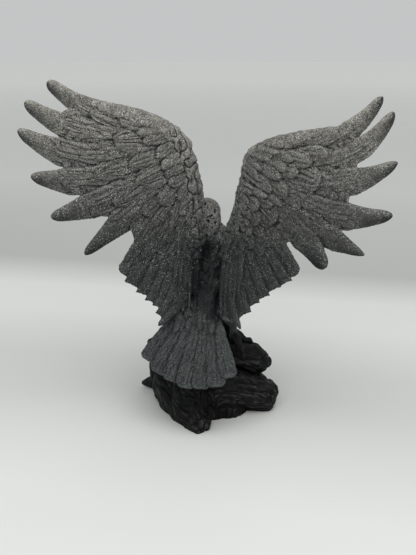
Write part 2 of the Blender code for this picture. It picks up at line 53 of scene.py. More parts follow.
# The perch from left to right: share of the length, share of the depth forward of the feet, drop of its
# top as a share of the perch height, and share of the perch radius
PERCH = (
    (-0.525, 0.05, 0.18, 0.3), (-0.505, 0.05, 0.1, 0.58), (-0.45, 0.05, 0.06, 0.82),
    (-0.38, 0.04, 0.04, 0.95), (-0.28, 0.02, 0.0, 0.97), (-0.14, 0.0, 0.0, 0.98), (0.0, 0.0, 0.0, 1.0),
    (0.09, 0.0, 0.01, 1.0), (0.17, 0.0, 0.05, 0.96), (0.265, 0.01, 0.1, 0.95), (0.322, 0.015, 0.145, 0.6),
    (0.345, 0.02, 0.19, 0.3),
)
# The other limbs: shares of the length, depth and perch height, then a share of the perch radius
LIMBS = (
    (
        (-0.03, 0.08, 0.74, 1.15), (-0.05, 0.03, 0.42, 2.1), (-0.07, -0.02, 0.1, 2.6),
        (-0.07, -0.02, -0.25, 2.7),
    ),
    ((-0.41, 0.12, 0.7, 0.85), (-0.385, 0.11, 0.42, 1.25), (-0.33, 0.07, 0.1, 1.3), (-0.32, 0.07, -0.2, 1.3)),
    (
        (0.41, 0.0, 0.18, 0.55), (0.345, 0.0, 0.21, 1.05), (0.22, -0.015, 0.26, 1.28),
        (0.05, -0.075, 0.33, 1.55), (-0.095, -0.17, 0.33, 1.7), (-0.13, -0.3, 0.17, 1.35),
        (-0.085, -0.41, 0.09, 1.02), (-0.01, -0.525, 0.03, 0.55),
    ),
    (
        (-0.38, 0.06, 0.4, 1.0), (-0.33, -0.04, 0.22, 1.15), (-0.24, -0.17, 0.13, 1.2),
        (-0.15, -0.3, 0.06, 1.1),
    ),
    ((-0.28, 0.08, 0.26, 1.1), (-0.38, 0.12, 0.2, 0.8), (-0.49, 0.17, 0.14, 0.54), (-0.605, 0.2, 0.07, 0.16)),
    ((-0.1, 0.1, 0.4, 1.7), (-0.17, 0.28, 0.22, 1.2), (-0.24, 0.44, 0.1, 0.6)),
    ((0.08, 0.1, 0.36, 1.5), (0.18, 0.27, 0.2, 1.05), (0.27, 0.4, 0.08, 0.5)),
    ((0.0, 0.12, 0.7, 0.95), (0.01, 0.19, 0.98, 0.72), (0.03, 0.22, 1.2, 0.5), (0.035, 0.225, 1.31, 0.3)),
)


def along_curve(points, share):
    """A point at a share of the way along a smooth line through points, evenly timed."""
    points = np.asarray(points, float)
    at = share * (len(points) - 1)
    i = min(int(at), len(points) - 2)
    t = at - i
    a, b = points[i], points[i + 1]
    slope_a = (b - points[max(i - 1, 0)]) / 2
    slope_b = (points[min(i + 2, len(points) - 1)] - a) / 2
    t2, t3 = t * t, t * t * t
    level = (2 * t3 - 3 * t2 + 1) * a + (3 * t2 - 2 * t3) * b
    return level + (t3 - 2 * t2 + t) * slope_a + (t3 - t2) * slope_b


def shell(rings, marks):
    """One closed shell through rings of points in millimetres, with marks that say what each point is."""
    rings, marks = np.asarray(rings, float), np.asarray(marks, float)
    stations, sides = rings.shape[:2]
    points = np.concatenate([rings.reshape(-1, 3), rings[:1].mean(1), rings[-1:].mean(1)])
    marks = np.concatenate([marks.reshape(stations * sides, -1), marks[:1].mean(1), marks[-1:].mean(1)])
    i, j = np.meshgrid(np.arange(stations - 1), np.arange(sides), indexing="ij")
    k = (j + 1) % sides
    quads = np.stack([i * sides + j, i * sides + k, (i + 1) * sides + k, (i + 1) * sides + j], -1)
    quads = quads.reshape(-1, 4)
    side = np.arange(sides)
    after, start, last = (side + 1) % sides, np.full(sides, stations * sides), (stations - 1) * sides
    caps = [np.stack([start, after, side], 1), np.stack([start + 1, last + side, last + after], 1)]
    triangles = np.concatenate([quads[:, [0, 1, 2]], quads[:, [0, 2, 3]], *caps])
    return outward(points, triangles, marks)


def outward(points, triangles, marks):
    """The same shell with its faces pointing out."""
    corners = points[triangles] - points.mean(0)
    inside_out = np.einsum("ij,ij->i", corners[:, 0], np.cross(corners[:, 1], corners[:, 2])).sum() < 0
    return points, triangles[:, ::-1] if inside_out else triangles, marks


def perch_at(across):
    """The perch's forward middle, height of its middle, and radius, at a distance across."""
    rows = np.array(PERCH)
    forward = np.interp(across, rows[:, 0] * STUMP_LENGTH, PERCH_FORWARD + rows[:, 1] * STUMP_DEPTH)
    top = np.interp(across, rows[:, 0] * STUMP_LENGTH, PERCH_TOP * (1 - rows[:, 2]))
    radius = np.interp(across, rows[:, 0] * STUMP_LENGTH, PERCH_RADIUS * rows[:, 3])
    return forward, top - radius, radius


def crack(value, width):
    """A narrow valley where a noise value passes zero."""
    return max(0.0, 1.0 - abs(value) / width)


def wooden_limb(path, number, sides=48):
    """A limb with the deep grooves of driftwood. Its marks say how far along and round it each point is."""
    stations = 3 * len(path)
    coarse = np.array([along_curve(path, s) for s in np.linspace(0, 1, stations)])
    length = np.linalg.norm(np.diff(coarse[:, :3], axis=0), axis=1).sum()
    steps = int(length / 2.0) + 2
    rings, marks, travelled = [], [], 0.0
    angles = np.linspace(0, 2 * math.pi, sides, endpoint=False)
    for share in np.linspace(0, 1, steps):
        at = share * (stations - 1)
        i = min(int(at), stations - 2)
        centre = coarse[i] + (coarse[i + 1] - coarse[i]) * (at - i)
        tangents = [coarse[min(k + 1, stations - 1)][:3] - coarse[max(k - 1, 0)][:3] for k in (i, i + 1)]
        ahead = tangents[0] + (tangents[1] - tangents[0]) * (at - i)
        ahead = ahead / np.linalg.norm(ahead)
        across = np.cross(ahead, (1.0, 0, 0) if abs(ahead[2]) > 0.7 else (0, 0, 1.0))
        across = across / np.linalg.norm(across)
        up = np.cross(across, ahead)
        turn, radius = number * 1.3 + 0.09 * at, centre[3]
        groove = np.sin(5 * angles + turn) + 0.6 * np.sin(3 * angles - 1.7 * turn)
        size = radius * (1 + BARK_GROOVE * groove)
        grain = [(travelled, radius * math.cos(a) + 40 * number, radius * math.sin(a)) for a in angles]
        ring = centre[:3] + size[:, None] * (np.cos(angles)[:, None] * across + np.sin(angles)[:, None] * up)
        rings.append(ring)
        marks.append(grain)
        travelled += length / (steps - 1)
    return shell(rings, marks)


def fuse(name, shells, voxel):
    """Fuses shells into one casting, and gives it with the marks that each of its points lies on."""
    counts = np.cumsum([0] + [len(points) for points, _, _ in shells])
    points = np.concatenate([points for points, _, _ in shells]) * MM
    triangles = np.concatenate([faces + start for (_, faces, _), start in zip(shells, counts)])
    marks = np.concatenate([marks for _, _, marks in shells])
    mesh = bpy.data.meshes.new(name)
    mesh.from_pydata(points, [], triangles)
    piece = bpy.data.objects.new(name, mesh)
    bpy.context.scene.collection.objects.link(piece)
    modifier = piece.modifiers.new("fuse", "REMESH")
    modifier.mode = "VOXEL"
    modifier.voxel_size = voxel * MM
    piece.data = settled(piece)
    surface = BVHTree.FromPolygons(points.tolist(), triangles.tolist())
    places = read(piece.data.vertices, "co", 3)
    hits = [surface.find_nearest(p) for p in places.tolist()]
    faces = triangles[[hit[2] for hit in hits]]
    near = np.array([hit[0] for hit in hits])
    a, b, c = points[faces[:, 0]], points[faces[:, 1]], points[faces[:, 2]]
    whole = np.linalg.norm(np.cross(b - a, c - a), axis=1) + 1e-20
    share_a = np.linalg.norm(np.cross(b - near, c - near), axis=1) / whole
    share_b = np.linalg.norm(np.cross(a - near, c - near), axis=1) / whole
    shares = np.stack([share_a, share_b, 1 - share_a - share_b], 1)
    return piece, np.einsum("ij,ijk->ik", shares, marks[faces])


def settled(piece):
    """The piece's mesh with its modifiers worked in, and the modifiers gone."""
    mesh = bpy.data.meshes.new_from_object(piece.evaluated_get(bpy.context.evaluated_depsgraph_get()))
    piece.modifiers.clear()
    return mesh


def read(items, what, width):
    """Reads a value of every item of a mesh into an array."""
    values = np.empty(len(items) * width, np.float32 if what != "vertices" else np.int32)
    items.foreach_get(what, values)
    return values.reshape(-1, width) if width > 1 else values


def move_points(mesh, points):
    """Moves the points of a mesh to new places."""
    mesh.vertices.foreach_set("co", points.astype(np.float32).ravel())
    mesh.update()


def eased(points, edges, turns, pull=0.5):
    """Moves each point towards the middle of its neighbours, a number of times."""
    count = len(points)
    near = np.bincount(edges.ravel(), minlength=count)[:, None]
    for _ in range(turns):
        total = [
            np.bincount(edges[:, 0], points[edges[:, 1], k], count)
            + np.bincount(edges[:, 1], points[edges[:, 0], k], count)
            for k in range(3)
        ]
        points = points + pull * (np.stack(total, 1) / near - points)
    return points


def write_mark(mesh, name, values):
    """Keeps a number or a vector of each point on the mesh, for the paint to read."""
    kind = "FLOAT" if values.ndim == 1 else "FLOAT_VECTOR"
    mark = mesh.attributes.new(name, kind, "POINT")
    mark.data.foreach_set("value" if values.ndim == 1 else "vector", values.astype(np.float32).ravel())


def hollows(mesh, reach, full):
    """How deep each point lies below its surroundings: 1 in a groove of the full depth, -1 on a ridge."""
    points, edges = read(mesh.vertices, "co", 3), read(mesh.edges, "vertices", 2)
    normals = read(mesh.vertex_normals, "vector", 3)
    sunk = np.einsum("ij,ij->i", eased(points, edges, reach) - points, normals)
    return np.clip(sunk / (full * MM), -1, 1)


def thinned(piece, triangles):
    """Thins a piece to about this many triangles, and keeps what is marked on its points."""
    count = sum(len(p.vertices) - 2 for p in piece.data.polygons)
    thin = piece.modifiers.new("thin", "DECIMATE")
    thin.ratio = min(1.0, triangles / count)
    piece.data = settled(piece)
    piece.data.shade_smooth()


sizes = np.array((STUMP_LENGTH, STUMP_DEPTH, PERCH_TOP, PERCH_RADIUS))
paths = [[(x, *perch_at(x)) for x in (row[0] * STUMP_LENGTH for row in PERCH)]]
paths += [[np.array(p) * sizes for p in limb] for limb in LIMBS]
voxel = STUMP_VOXEL
stump, grain = fuse("driftwood_stump", [wooden_limb(path, n) for n, path in enumerate(paths)], voxel)
mesh = stump.data
edges = read(mesh.edges, "vertices", 2)
turns = int(STUMP_WEAR * 4 / voxel**2)
points = eased(read(mesh.vertices, "co", 3), edges, turns)
grain = eased(grain, edges, turns // 2)
move_points(mesh, points)
normals = read(mesh.vertex_normals, "vector", 3)
push = []
spike = np.clip((points[:, 0] + 0.6 * STUMP_LENGTH * MM) / (0.13 * STUMP_LENGTH * MM), 0.15, 1)
for (s, c, d), at in zip(grain.tolist(), points.tolist()):
    lump = noise.noise(Vector(at) * 60) + 0.5 * noise.noise(Vector(at) * 170)
    twist = 3 * noise.noise(Vector((s / 34, c / 14, d / 14 + 9)))
    wave = noise.noise(Vector((s / 30, c / 5.5, d / 5.5)))
    wide = crack(noise.noise(Vector((s / 40, (c + twist) / 5.2, (d + twist) / 5.2 + 3))), 0.2)
    fine = crack(noise.noise(Vector((s / 24, (c + twist) / 2.3, (d + twist) / 2.3 + 5))), 0.22)
    push.append(LUMP * lump + WAVE * wave - WIDE_CRACK * wide - FINE_CRACK * fine + FILLING)
points = points + normals * (np.array(push) * spike * MM)[:, None]
move_points(mesh, points)
write_mark(stump.data, "grain", grain)
write_mark(stump.data, "hollow", hollows(stump.data, 26, 0.9))
thinned(stump, STUMP_TRIANGLES)
flat = read(stump.data.vertices, "co", 3)
flat[:, 2] = np.maximum(flat[:, 2], 0)
stump.data.vertices.foreach_set("co", flat.ravel())


def shader_group(name, inputs, outputs):
    """An empty group of shader nodes, with a helper that adds a node, what it is given and its result."""
    tree = bpy.data.node_groups.new(name, "ShaderNodeTree")
    for label, kind, value in inputs:
        socket = tree.interface.new_socket(label, in_out="INPUT", socket_type="NodeSocket" + kind)
        if value is not None:
            socket.default_value = value
    for label, kind in outputs:
        tree.interface.new_socket(label, in_out="OUTPUT", socket_type="NodeSocket" + kind)
    given, result = tree.nodes.new("NodeGroupInput").outputs, tree.nodes.new("NodeGroupOutput").inputs
    return tree, adder(tree), given, result


def adder(tree):
    """A helper that adds a node to the tree, sets it, and feeds its inputs from sockets or plain values."""

    def add(kind, feeds=(), **settings):
        node = tree.nodes.new(kind)
        for key, value in settings.items():
            setattr(node, key, value)
        for key, value in dict(feeds).items():
            if isinstance(value, bpy.types.NodeSocket):
                tree.links.new(value, node.inputs[key])
            else:
                node.inputs[key].default_value = value
        return node

    return add


def sum_up(add, operation, *values):
    """The result of one Math node."""
    return add("ShaderNodeMath", dict(enumerate(values)), operation=operation).outputs[0]


def scaled_to(add, value, low, high, new_low=0.0, new_high=1.0):
    """Takes a range of values to a new one, and holds it there."""
    feeds = {"Value": value, "From Min": low, "From Max": high, "To Min": new_low, "To Max": new_high}
    return add("ShaderNodeMapRange", feeds).outputs[0]


def mixed(add, share, one, other, blend="MIX"):
    """A mix of two colours."""
    return add("ShaderNodeMix", {0: share, 6: one, 7: other}, data_type="RGBA", blend_type=blend).outputs[2]


def clouds(add, place, scale, detail, roughness=0.5):
    """A noise texture over a place."""
    feeds = {"Vector": place, "Scale": scale, "Detail": detail, "Roughness": roughness}
    return add("ShaderNodeTexNoise", feeds).outputs[0]


# Grit of the cast and painted surface: a soft unevenness and a fine tooth, for the stump and the bird
grit, add, given, result = shader_group(
    "grit", (("Vector", "Vector", None), ("Grain Size", "Float", 0.7), ("Depth", "Float", 0.12)),
    (("Height", "Float"), ("Tone", "Float")),
)
per_metre = sum_up(add, "DIVIDE", 1000.0, given["Grain Size"])
tooth = clouds(add, given["Vector"], per_metre, 3.0, 0.6)
broad = clouds(add, given["Vector"], sum_up(add, "MULTIPLY", per_metre, 0.16), 3.0)
depth = sum_up(add, "MULTIPLY", tooth, sum_up(add, "MULTIPLY", given["Depth"], MM))
grit.links.new(depth, result["Height"])
grit.links.new(scaled_to(add, broad, 0.3, 0.7), result["Tone"])


def paint(name):
    """A new material, with its helper and its Principled shader."""
    material = bpy.data.materials.new(name)
    material.use_nodes = True
    return material, adder(material.node_tree), material.node_tree.nodes["Principled BSDF"]


def mark(add, name):
    """What is marked on the points of the piece."""
    return add("ShaderNodeAttribute", attribute_name=name).outputs


def use_group(add, tree, feeds):
    """Places a group of shader nodes with its own values."""
    node = add("ShaderNodeGroup", node_tree=tree)
    for key, value in feeds.items():
        if isinstance(value, bpy.types.NodeSocket):
            node.id_data.links.new(value, node.inputs[key])
        else:
            node.inputs[key].default_value = value
    return node.outputs


# Black paint with a brown rub along the grain, a pale rub on the raised parts that is also painted highlight,
# and the black of the cracks that is also painted shade
BLACK, RUBBED = (0.0014, 0.0017, 0.0024, 1), (0.0065, 0.0055, 0.005, 1)
PALE_RUB_AND_SHEEN, CRACK_BLACK_AND_SHADE = (0.06, 0.058, 0.058, 1), (0.0015, 0.0015, 0.002, 1)
LINE_HEIGHT = 0.2
black_paint, add, shader = paint("rubbed_black_paint")
object_place = add("ShaderNodeTexCoord").outputs["Object"]
lie = mark(add, "grain")["Vector"]
lie = add("ShaderNodeMapping", {"Vector": lie, "Scale": (0.05, 1.0, 1.0)}).outputs[0]
streaks = clouds(add, lie, 0.85, 4.0, 0.62)
lines = clouds(add, lie, 2.2, 2.0)
surface = use_group(add, grit, {"Vector": object_place, "Grain Size": 0.9, "Depth": 0.16})
sunk = mark(add, "hollow")["Fac"]
# The pale rub on the raised parts: the real dry brushing, and also painted highlight, a broad sheen on the
# convex parts
ridge = scaled_to(add, sunk, -0.1, -0.7)
rub_and_sheen = sum_up(add, "MULTIPLY", ridge, scaled_to(add, streaks, 0.46, 0.6))
patch = clouds(add, object_place, 26.0, 2.0)
rub_and_sheen = sum_up(add, "MULTIPLY", rub_and_sheen, scaled_to(add, patch, 0.38, 0.62, 0.25, 1.0))
tone = mixed(add, scaled_to(add, streaks, 0.5, 0.75), BLACK, RUBBED)
tone = mixed(add, rub_and_sheen, tone, PALE_RUB_AND_SHEEN)
# Back to black in the cracks: the unrubbed paint, and also painted shade in the recesses
tone = mixed(add, scaled_to(add, sunk, 0.15, 0.8), tone, CRACK_BLACK_AND_SHADE)
black_paint.node_tree.links.new(tone, shader.inputs["Base Color"])
satin = scaled_to(add, surface["Tone"], 0.0, 1.0, 0.42, 0.6)
black_paint.node_tree.links.new(satin, shader.inputs["Roughness"])
shader.inputs["Specular IOR Level"].default_value = 0.15
height = sum_up(add, "MULTIPLY", lines, LINE_HEIGHT * MM)
height = sum_up(add, "ADD", height, surface["Height"])
bump = add("ShaderNodeBump", {"Height": height, "Distance": 1.0, "Strength": 0.8}).outputs[0]
black_paint.node_tree.links.new(bump, shader.inputs["Normal"])
stump.data.materials.append(black_paint)
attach(stump, "root")
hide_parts("driftwood_base")

# The wings. Each is a thick arm with a web of long flight feathers behind it and rows of coverts laid over
# their roots like shingles, all carved in the model that the mould was taken from.
# Distances out are from the bird's middle line.
FEATHER_THICKNESS, WEB_THICKNESS, ARM_THICKNESS = 5.4, 3.6, 13.0
FEATHER_ROLL, QUILL_HALF_WIDTH = 1.6, 5.5
# The short flight feathers near the body lie flatter, and their ends are cut at a slant, so that the
# wing's lower edge steps down from one hooked corner to the next
FIRST_SHORT, SHORT_ROLL, SHORT_THICKNESS, CUT_OVERLAP, HOOK = 6, 1.2, 4.6, 0.31, 2.6
WING_BACK, SHOULDER_Z, SWEEP, CAMBER, WING_REACH = -24.0, 180.0, 0.33, 8.0, 165.0
LEAN_BELOW, LEAN_ABOVE, LEAN_BLEND = 0.30, 0.10, 22.0
# A flight feather: root, where it leaves its neighbours, tip, half-width there and at the tip
LEFT_FEATHERS = (
    ((50, 291), (106, 310.5), (132.5, 331.5), 10.2, 5.2),
    ((42, 286), (119.5, 292.5), (153.5, 314), 12.6, 5.3),
    ((35, 280), (129, 271), (162, 289.7), 13.6, 5.0),
    ((31, 272), (123.5, 243.5), (155, 248), 13.5, 5.0),
    ((28, 262), (106.5, 219.8), (140.3, 209.5), 13.0, 4.8),
    ((26, 250), (79, 204.5), (111.5, 174.5), 12.2, 3.4),
    ((24, 238), (54.5, 190.5), (77, 155.5), 10.6, 8.2),
    ((23, 228), (48.5, 180.5), (69, 146.5), 9.5, 7.2),
    ((22, 218), (43, 171), (59, 137.5), 9.0, 5.4),
    ((21, 208), (38, 162), (52, 130.5), 8.5, 5.2),
    ((20, 199), (33, 153), (46, 125.5), 8.5, 4.6),
    ((18, 190), (28, 145), (43, 117), 8.5, 4.0),
    ((16, 181), (23, 137), (44, 107.5), 8.0, 2.6),
)
RIGHT_FEATHERS = (
    ((58, 277), (127, 297), (149.5, 324), 8.8, 3.4),
    ((50, 272), (137, 283), (159, 312), 9.6, 3.8),
    ((44, 266), (131.5, 254), (164.5, 272), 12.4, 3.4),
    ((41, 258), (126.5, 222.8), (163.5, 227.3), 13.4, 4.6),
    ((39, 248), (117, 200.5), (142.5, 190), 11.6, 2.4),
    ((37, 238), (90.5, 198), (109, 174), 14.0, 6.3),
    ((35, 228), (66, 186), (84, 165), 10.5, 7.4),
    ((33, 219), (58, 177.5), (74, 157), 9.5, 7.0),
    ((31, 210), (50, 170), (64, 150), 9.5, 6.4),
    ((28, 202), (43, 161), (54, 141), 9.0, 6.0),
    ((25, 195), (36, 151), (45, 133), 9.0, 5.8),
    ((21, 188), (30, 142), (37, 123), 8.5, 5.0),
    ((17, 180), (20.5, 134), (33.5, 108), 6.8, 2.0),
)
# The arm: distance out, height and half-width along it
LEFT_ARM = (
    (16, 166, 9), (17, 182, 11), (17.5, 205, 11), (19.8, 240, 11), (25.2, 265, 11), (31, 279, 10.5),
    (46.5, 293, 9), (67, 302.2, 7.5), (89.5, 309.7, 5.5), (116, 320.3, 3.8),
)
RIGHT_ARM = (
    (17, 166, 9), (20, 182, 10.5), (31, 211, 11), (36.7, 232, 11), (39.7, 246, 11), (41.5, 259, 10.5),
    (46.5, 268, 10), (62, 278.5, 8), (82, 285.3, 7), (100, 291.2, 5), (118, 295.5, 4),
)
# Rows of coverts: how many, the shares of a flight feather's length where they start and end, how far
# they lift off the wing's middle at each end, and how much wider than their spacing they are
LEFT_COVERTS = (
    (12, 0.14, 0.7, 1.0, 2.2, 0.74), (13, 0.04, 0.5, 2.6, 3.1, 0.74), (14, -0.01, 0.31, 4.0, 4.2, 0.78),
    (19, -0.05, 0.12, 5.3, 5.7, 0.86),
)
RIGHT_COVERTS = (
    (9, 0.16, 0.57, 1.0, 2.4, 0.72), (10, 0.1, 0.43, 2.4, 3.5, 0.7), (11, 0.02, 0.3, 3.6, 4.4, 0.7),
    (14, -0.03, 0.19, 4.9, 5.5, 0.66), (20, -0.05, 0.08, 5.8, 6.4, 0.62),
)
UNDER_COVERTS = ((13, 0.05, 0.46, -1.6, -2.7, 0.62), (15, -0.02, 0.24, -3.0, -4.1, 0.62))
# How thick and how uneven the coverts are, and their seed, on the left (-1) and the right (1)
COVERT_THICKNESS, COVERT_UNEVENNESS, COVERT_SEEDS = {-1: 1.9, 1: 2.4}, {-1: 0.14, 1: 0.09}, {-1: 11, 1: 23}
# Long feathers that run from the shoulder to the rump and cover the swelling under the wing: the first
# one's root, middle and tip, each as distance out, its step to the next, height, and its step
TERTIALS, TERTIAL_THICKNESS, TERTIAL_ROLL = 5, 3.6, 0.5
LEFT_TERTIALS = ((16, 1.2, 212, 6), (15, 3.6, 160, 4), (12, 5.5, 116, 1.5))
RIGHT_TERTIALS = ((20, 2.8, 191, 6), (14, 4.4, 152, 3), (12, 4.2, 114, 2))
# What a point of the bird is: skin and arm, feather, head, or black toe. What is no feather has this
# half-width
SKIN, VANE, HEAD, CLAW, NO_VANE = 0.0, 1.0, 2.0, 3.0, 99


def wing_depth(out, height):
    """How far forward the wing's middle surface lies, at a distance out and a height."""
    above = height - SHOULDER_Z
    bend = np.hypot(above, LEAN_BLEND)
    lean = LEAN_BELOW * (above - bend) / 2 - LEAN_ABOVE * (above + bend) / 2
    return WING_BACK + lean - SWEEP * out - CAMBER * np.sin(np.pi * np.clip(out / WING_REACH, 0, 1))


def wing_normal(side, out, height):
    """The way a wing's surface faces, towards the bird's back."""
    slope_out = wing_depth(out + 0.5, height) - wing_depth(out - 0.5, height)
    slope_up = wing_depth(out, height + 0.5) - wing_depth(out, height - 0.5)
    normal = np.stack([side * slope_out, np.full(np.shape(out), -1.0), slope_up], -1)
    return normal / np.linalg.norm(normal, axis=-1, keepdims=True)


def wing_point(side, out, height, lift):
    """Points of a wing, lifted off its middle surface towards the bird's back."""
    out, height, lift = (np.asarray(v, float) for v in (out, height, lift))
    return np.stack([side * out, wing_depth(out, height), height], -1) + lift[..., None] * wing_normal(
        side, out, height
    )


def through(root, middle, tip):
    """A curve from root to tip that passes middle, and the share of its length where it does."""
    root, middle, tip = (np.asarray(p, float) for p in (root, middle, tip))
    first, last = np.linalg.norm(middle - root), np.linalg.norm(tip - middle)
    at = first / (first + last)
    bow = (middle - (1 - at) ** 2 * root - at**2 * tip) / (2 * at * (1 - at))
    return (lambda t: (1 - t) ** 2 * root + 2 * t * (1 - t) * bow + t**2 * tip), at


def feather(
    place, line, half_width, thickness, lift, roll, edge=None, flat=0.45, tip_share=lambda t: 0.0,
    stations=56, sides=30,
):
    """A blade along line(t), raised by lift(t), with one edge rolled up and its end cut along edge."""
    rings, marks, travelled, before = [], [], 0.0, line(0.0)
    angles = np.linspace(0, 2 * math.pi, sides, endpoint=False)
    share = np.sign(np.cos(angles)) * np.abs(np.cos(angles)) ** 0.8
    rise = np.sign(np.sin(angles)) * np.maximum(1 - share**2, 0) ** flat
    rise = rise * (1 + 0.22 * np.exp(-((share / 0.1) ** 2)))
    for t in np.linspace(0, 1, stations):
        here = line(t)
        ahead = line(min(t + 0.02, 1.0)) - line(max(t - 0.02, 0.0))
        across = np.array((-ahead[1], ahead[0])) / np.linalg.norm(ahead)
        wide = half_width(t)
        if edge is not None:
            cut = min(max((t - 0.72) / 0.28, 0), 1) ** 1.5
            across = across * (1 - cut) + edge / np.linalg.norm(edge) * cut
            across = across / np.linalg.norm(across)
            wide = wide * (1 - cut) + CUT_OVERLAP * np.linalg.norm(edge) * cut
        end = math.sqrt(max(1 - max((t - 0.96) / 0.05, 0) ** 2, 0.1))
        thick = thickness / 2 * min(1.0, 0.45 + wide / 7) * end
        at = here + (share * wide)[:, None] * across
        if edge is not None:
            hook = HOOK * max(1 - (1 - t) / 0.1, 0) * np.maximum(share, 0) ** 3
            at = at + hook[:, None] * ahead / np.linalg.norm(ahead)
        rings.append(place(at[:, 0], at[:, 1], lift(t) + rise * thick + roll * share * min(wide / 8, 1)))
        travelled += np.linalg.norm(here - before)
        before = here
        full = np.ones(sides)
        columns = (travelled * full, share * wide, wide * full, VANE * full, tip_share(t) * full)
        marks.append(np.stack(columns, 1))
    return shell(rings, marks)


def finger_width(middle_width, tip_width, at):
    """Half-width along a flight feather: widest where it leaves its neighbours, then down to its tip."""

    def width(t):
        if t < at:
            return QUILL_HALF_WIDTH + (middle_width - QUILL_HALF_WIDTH) * math.sin(math.pi / 2 * t / at)
        taper = (t - at) / (1 - at)
        wide = middle_width + (tip_width - middle_width) * taper**0.9
        return wide * math.sqrt(max(1 - max((t - 0.93) / 0.075, 0) ** 2, 0.12))

    return width


def level_across(ahead):
    """The level way square to the way ahead, or the bird's right where that is nearly upright."""
    across = np.cross(ahead, (0.0, 0.0, 1.0))
    size = np.linalg.norm(across)
    return np.array((1.0, 0.0, 0.0)) if size < 0.35 else across / size


def tube(place, centres, radii, kind=SKIN, sides=30, stations=40):
    """Ellipses along a smooth line. Each has a half-width across and a half-depth up from the line."""
    keys = np.concatenate([np.asarray(centres, float), np.asarray(radii, float)], 1)
    tangents = np.gradient(keys[:, :3], axis=0)
    frames = []
    for tangent in tangents:
        ahead = tangent / np.linalg.norm(tangent)
        across = level_across(ahead)
        frames.append(np.concatenate([across, np.cross(across, ahead)]))
    rings, marks, travelled, before = [], [], 0.0, keys[0][:3]
    angles = np.linspace(0, 2 * math.pi, sides, endpoint=False)
    for share in np.linspace(0, 1, stations):
        key, axes = along_curve(keys, share), along_curve(frames, share)
        wide, deep = np.maximum(key[3:], 0.3)
        ring = key[:3] + np.outer(wide * np.cos(angles), axes[:3]) + np.outer(deep * np.sin(angles), axes[3:])
        rings.append(place(ring))
        travelled += np.linalg.norm(key[:3] - before)
        before = key[:3]
        full = np.ones(sides)
        round_it = (wide + deep) / 2 * np.abs(angles - math.pi)
        marks.append(np.stack([travelled * full, round_it, NO_VANE * full, kind * full, 0 * full], 1))
    return shell(rings, marks)


def plumage_tree():
    """Sets a feather on each point that it is given, turned and sized by what is marked there."""
    tree = bpy.data.node_groups.new("plumage", "GeometryNodeTree")
    tree.interface.new_socket("Geometry", in_out="INPUT", socket_type="NodeSocketGeometry")
    tree.interface.new_socket("Geometry", in_out="OUTPUT", socket_type="NodeSocketGeometry")
    for label, kind, value in (
        ("Points Along", "Int", 9), ("Points Across", "Int", 7), ("Roundness", "Float", 4.0),
        ("Root Width", "Float", 0.6), ("Arch", "Float", 0.35), ("Unevenness", "Float", 0.06),
        ("Seed", "Int", 5), ("Paint", "Material", None),
    ):
        socket = tree.interface.new_socket(label, in_out="INPUT", socket_type="NodeSocket" + kind)
        if value is not None:
            socket.default_value = value
    add = adder(tree)
    given = tree.nodes.new("NodeGroupInput").outputs
    feeds = {"Size": (1.0, 2.0, 1.0), "Vertices X": given["Points Along"]}
    feeds.update({"Vertices Y": given["Points Across"], "Vertices Z": 2})
    blank = add("GeometryNodeMeshCube", feeds).outputs["Mesh"]
    x, y, z = add("ShaderNodeSeparateXYZ", {0: add("GeometryNodeInputPosition").outputs[0]}).outputs
    along = sum_up(add, "ADD", x, 0.5)
    for label, value in (("along", along), ("across", y)):
        feeds = {"Geometry": blank, "Name": label, "Value": value}
        blank = add("GeometryNodeStoreNamedAttribute", feeds, data_type="FLOAT", domain="POINT").outputs[0]
    end = sum_up(add, "SUBTRACT", 1.0, sum_up(add, "POWER", along, given["Roundness"]))
    end = sum_up(add, "SQRT", sum_up(add, "MAXIMUM", end, 0.03))
    widening = sum_up(add, "SUBTRACT", 1.0, given["Root Width"])
    root = sum_up(add, "MULTIPLY_ADD", along, widening, given["Root Width"])
    bow = sum_up(add, "MULTIPLY", y, y)
    thick = sum_up(add, "MULTIPLY_ADD", sum_up(add, "MULTIPLY", bow, bow), -0.6, 1.0)
    level = sum_up(add, "MULTIPLY", sum_up(add, "MULTIPLY", bow, given["Arch"]), -1.0)
    sideways = sum_up(add, "MULTIPLY", y, sum_up(add, "MULTIPLY", end, root))
    raised = sum_up(add, "MULTIPLY_ADD", z, thick, level)
    new_place = add("ShaderNodeCombineXYZ", {0: along, 1: sideways, 2: raised}).outputs[0]
    blade = add("GeometryNodeSetPosition", {"Geometry": blank, "Position": new_place}).outputs[0]

    def marked(name):
        return add("GeometryNodeInputNamedAttribute", {"Name": name}, data_type="FLOAT_VECTOR").outputs[0]

    def chance(low, high, add_to_seed):
        feeds = {2: low, 3: high, "Seed": sum_up(add, "ADD", given["Seed"], add_to_seed)}
        return add("FunctionNodeRandomValue", feeds, data_type="FLOAT").outputs[1]

    turn = add("FunctionNodeAlignRotationToVector", {"Vector": marked("ahead")}, axis="X").outputs[0]
    feeds = {"Rotation": turn, "Vector": marked("facing")}
    turn = add("FunctionNodeAlignRotationToVector", feeds, axis="Z", pivot_axis="X").outputs[0]
    yaw = sum_up(add, "MULTIPLY", chance(-2.0, 2.0, 0), given["Unevenness"])
    yaw = add("FunctionNodeEulerToRotation", {0: add("ShaderNodeCombineXYZ", {2: yaw}).outputs[0]}).outputs[0]
    turn = add("FunctionNodeRotateRotation", {0: turn, 1: yaw}, rotation_space="LOCAL").outputs[0]
    stretch = sum_up(add, "MULTIPLY_ADD", chance(-1.0, 1.0, 1), given["Unevenness"], 1.0)
    size = add("ShaderNodeVectorMath", {0: marked("size"), "Scale": stretch}, operation="SCALE").outputs[0]
    feeds = {"Points": given["Geometry"], "Instance": blade, "Rotation": turn, "Scale": size}
    grown = add("GeometryNodeInstanceOnPoints", feeds).outputs[0]
    grown = add("GeometryNodeRealizeInstances", {0: grown}).outputs[0]
    grown = add("GeometryNodeSetMaterial", {"Geometry": grown, "Material": given["Paint"]}).outputs[0]
    tree.links.new(grown, tree.nodes.new("NodeGroupOutput").inputs[0])
    return tree


plumage = plumage_tree()


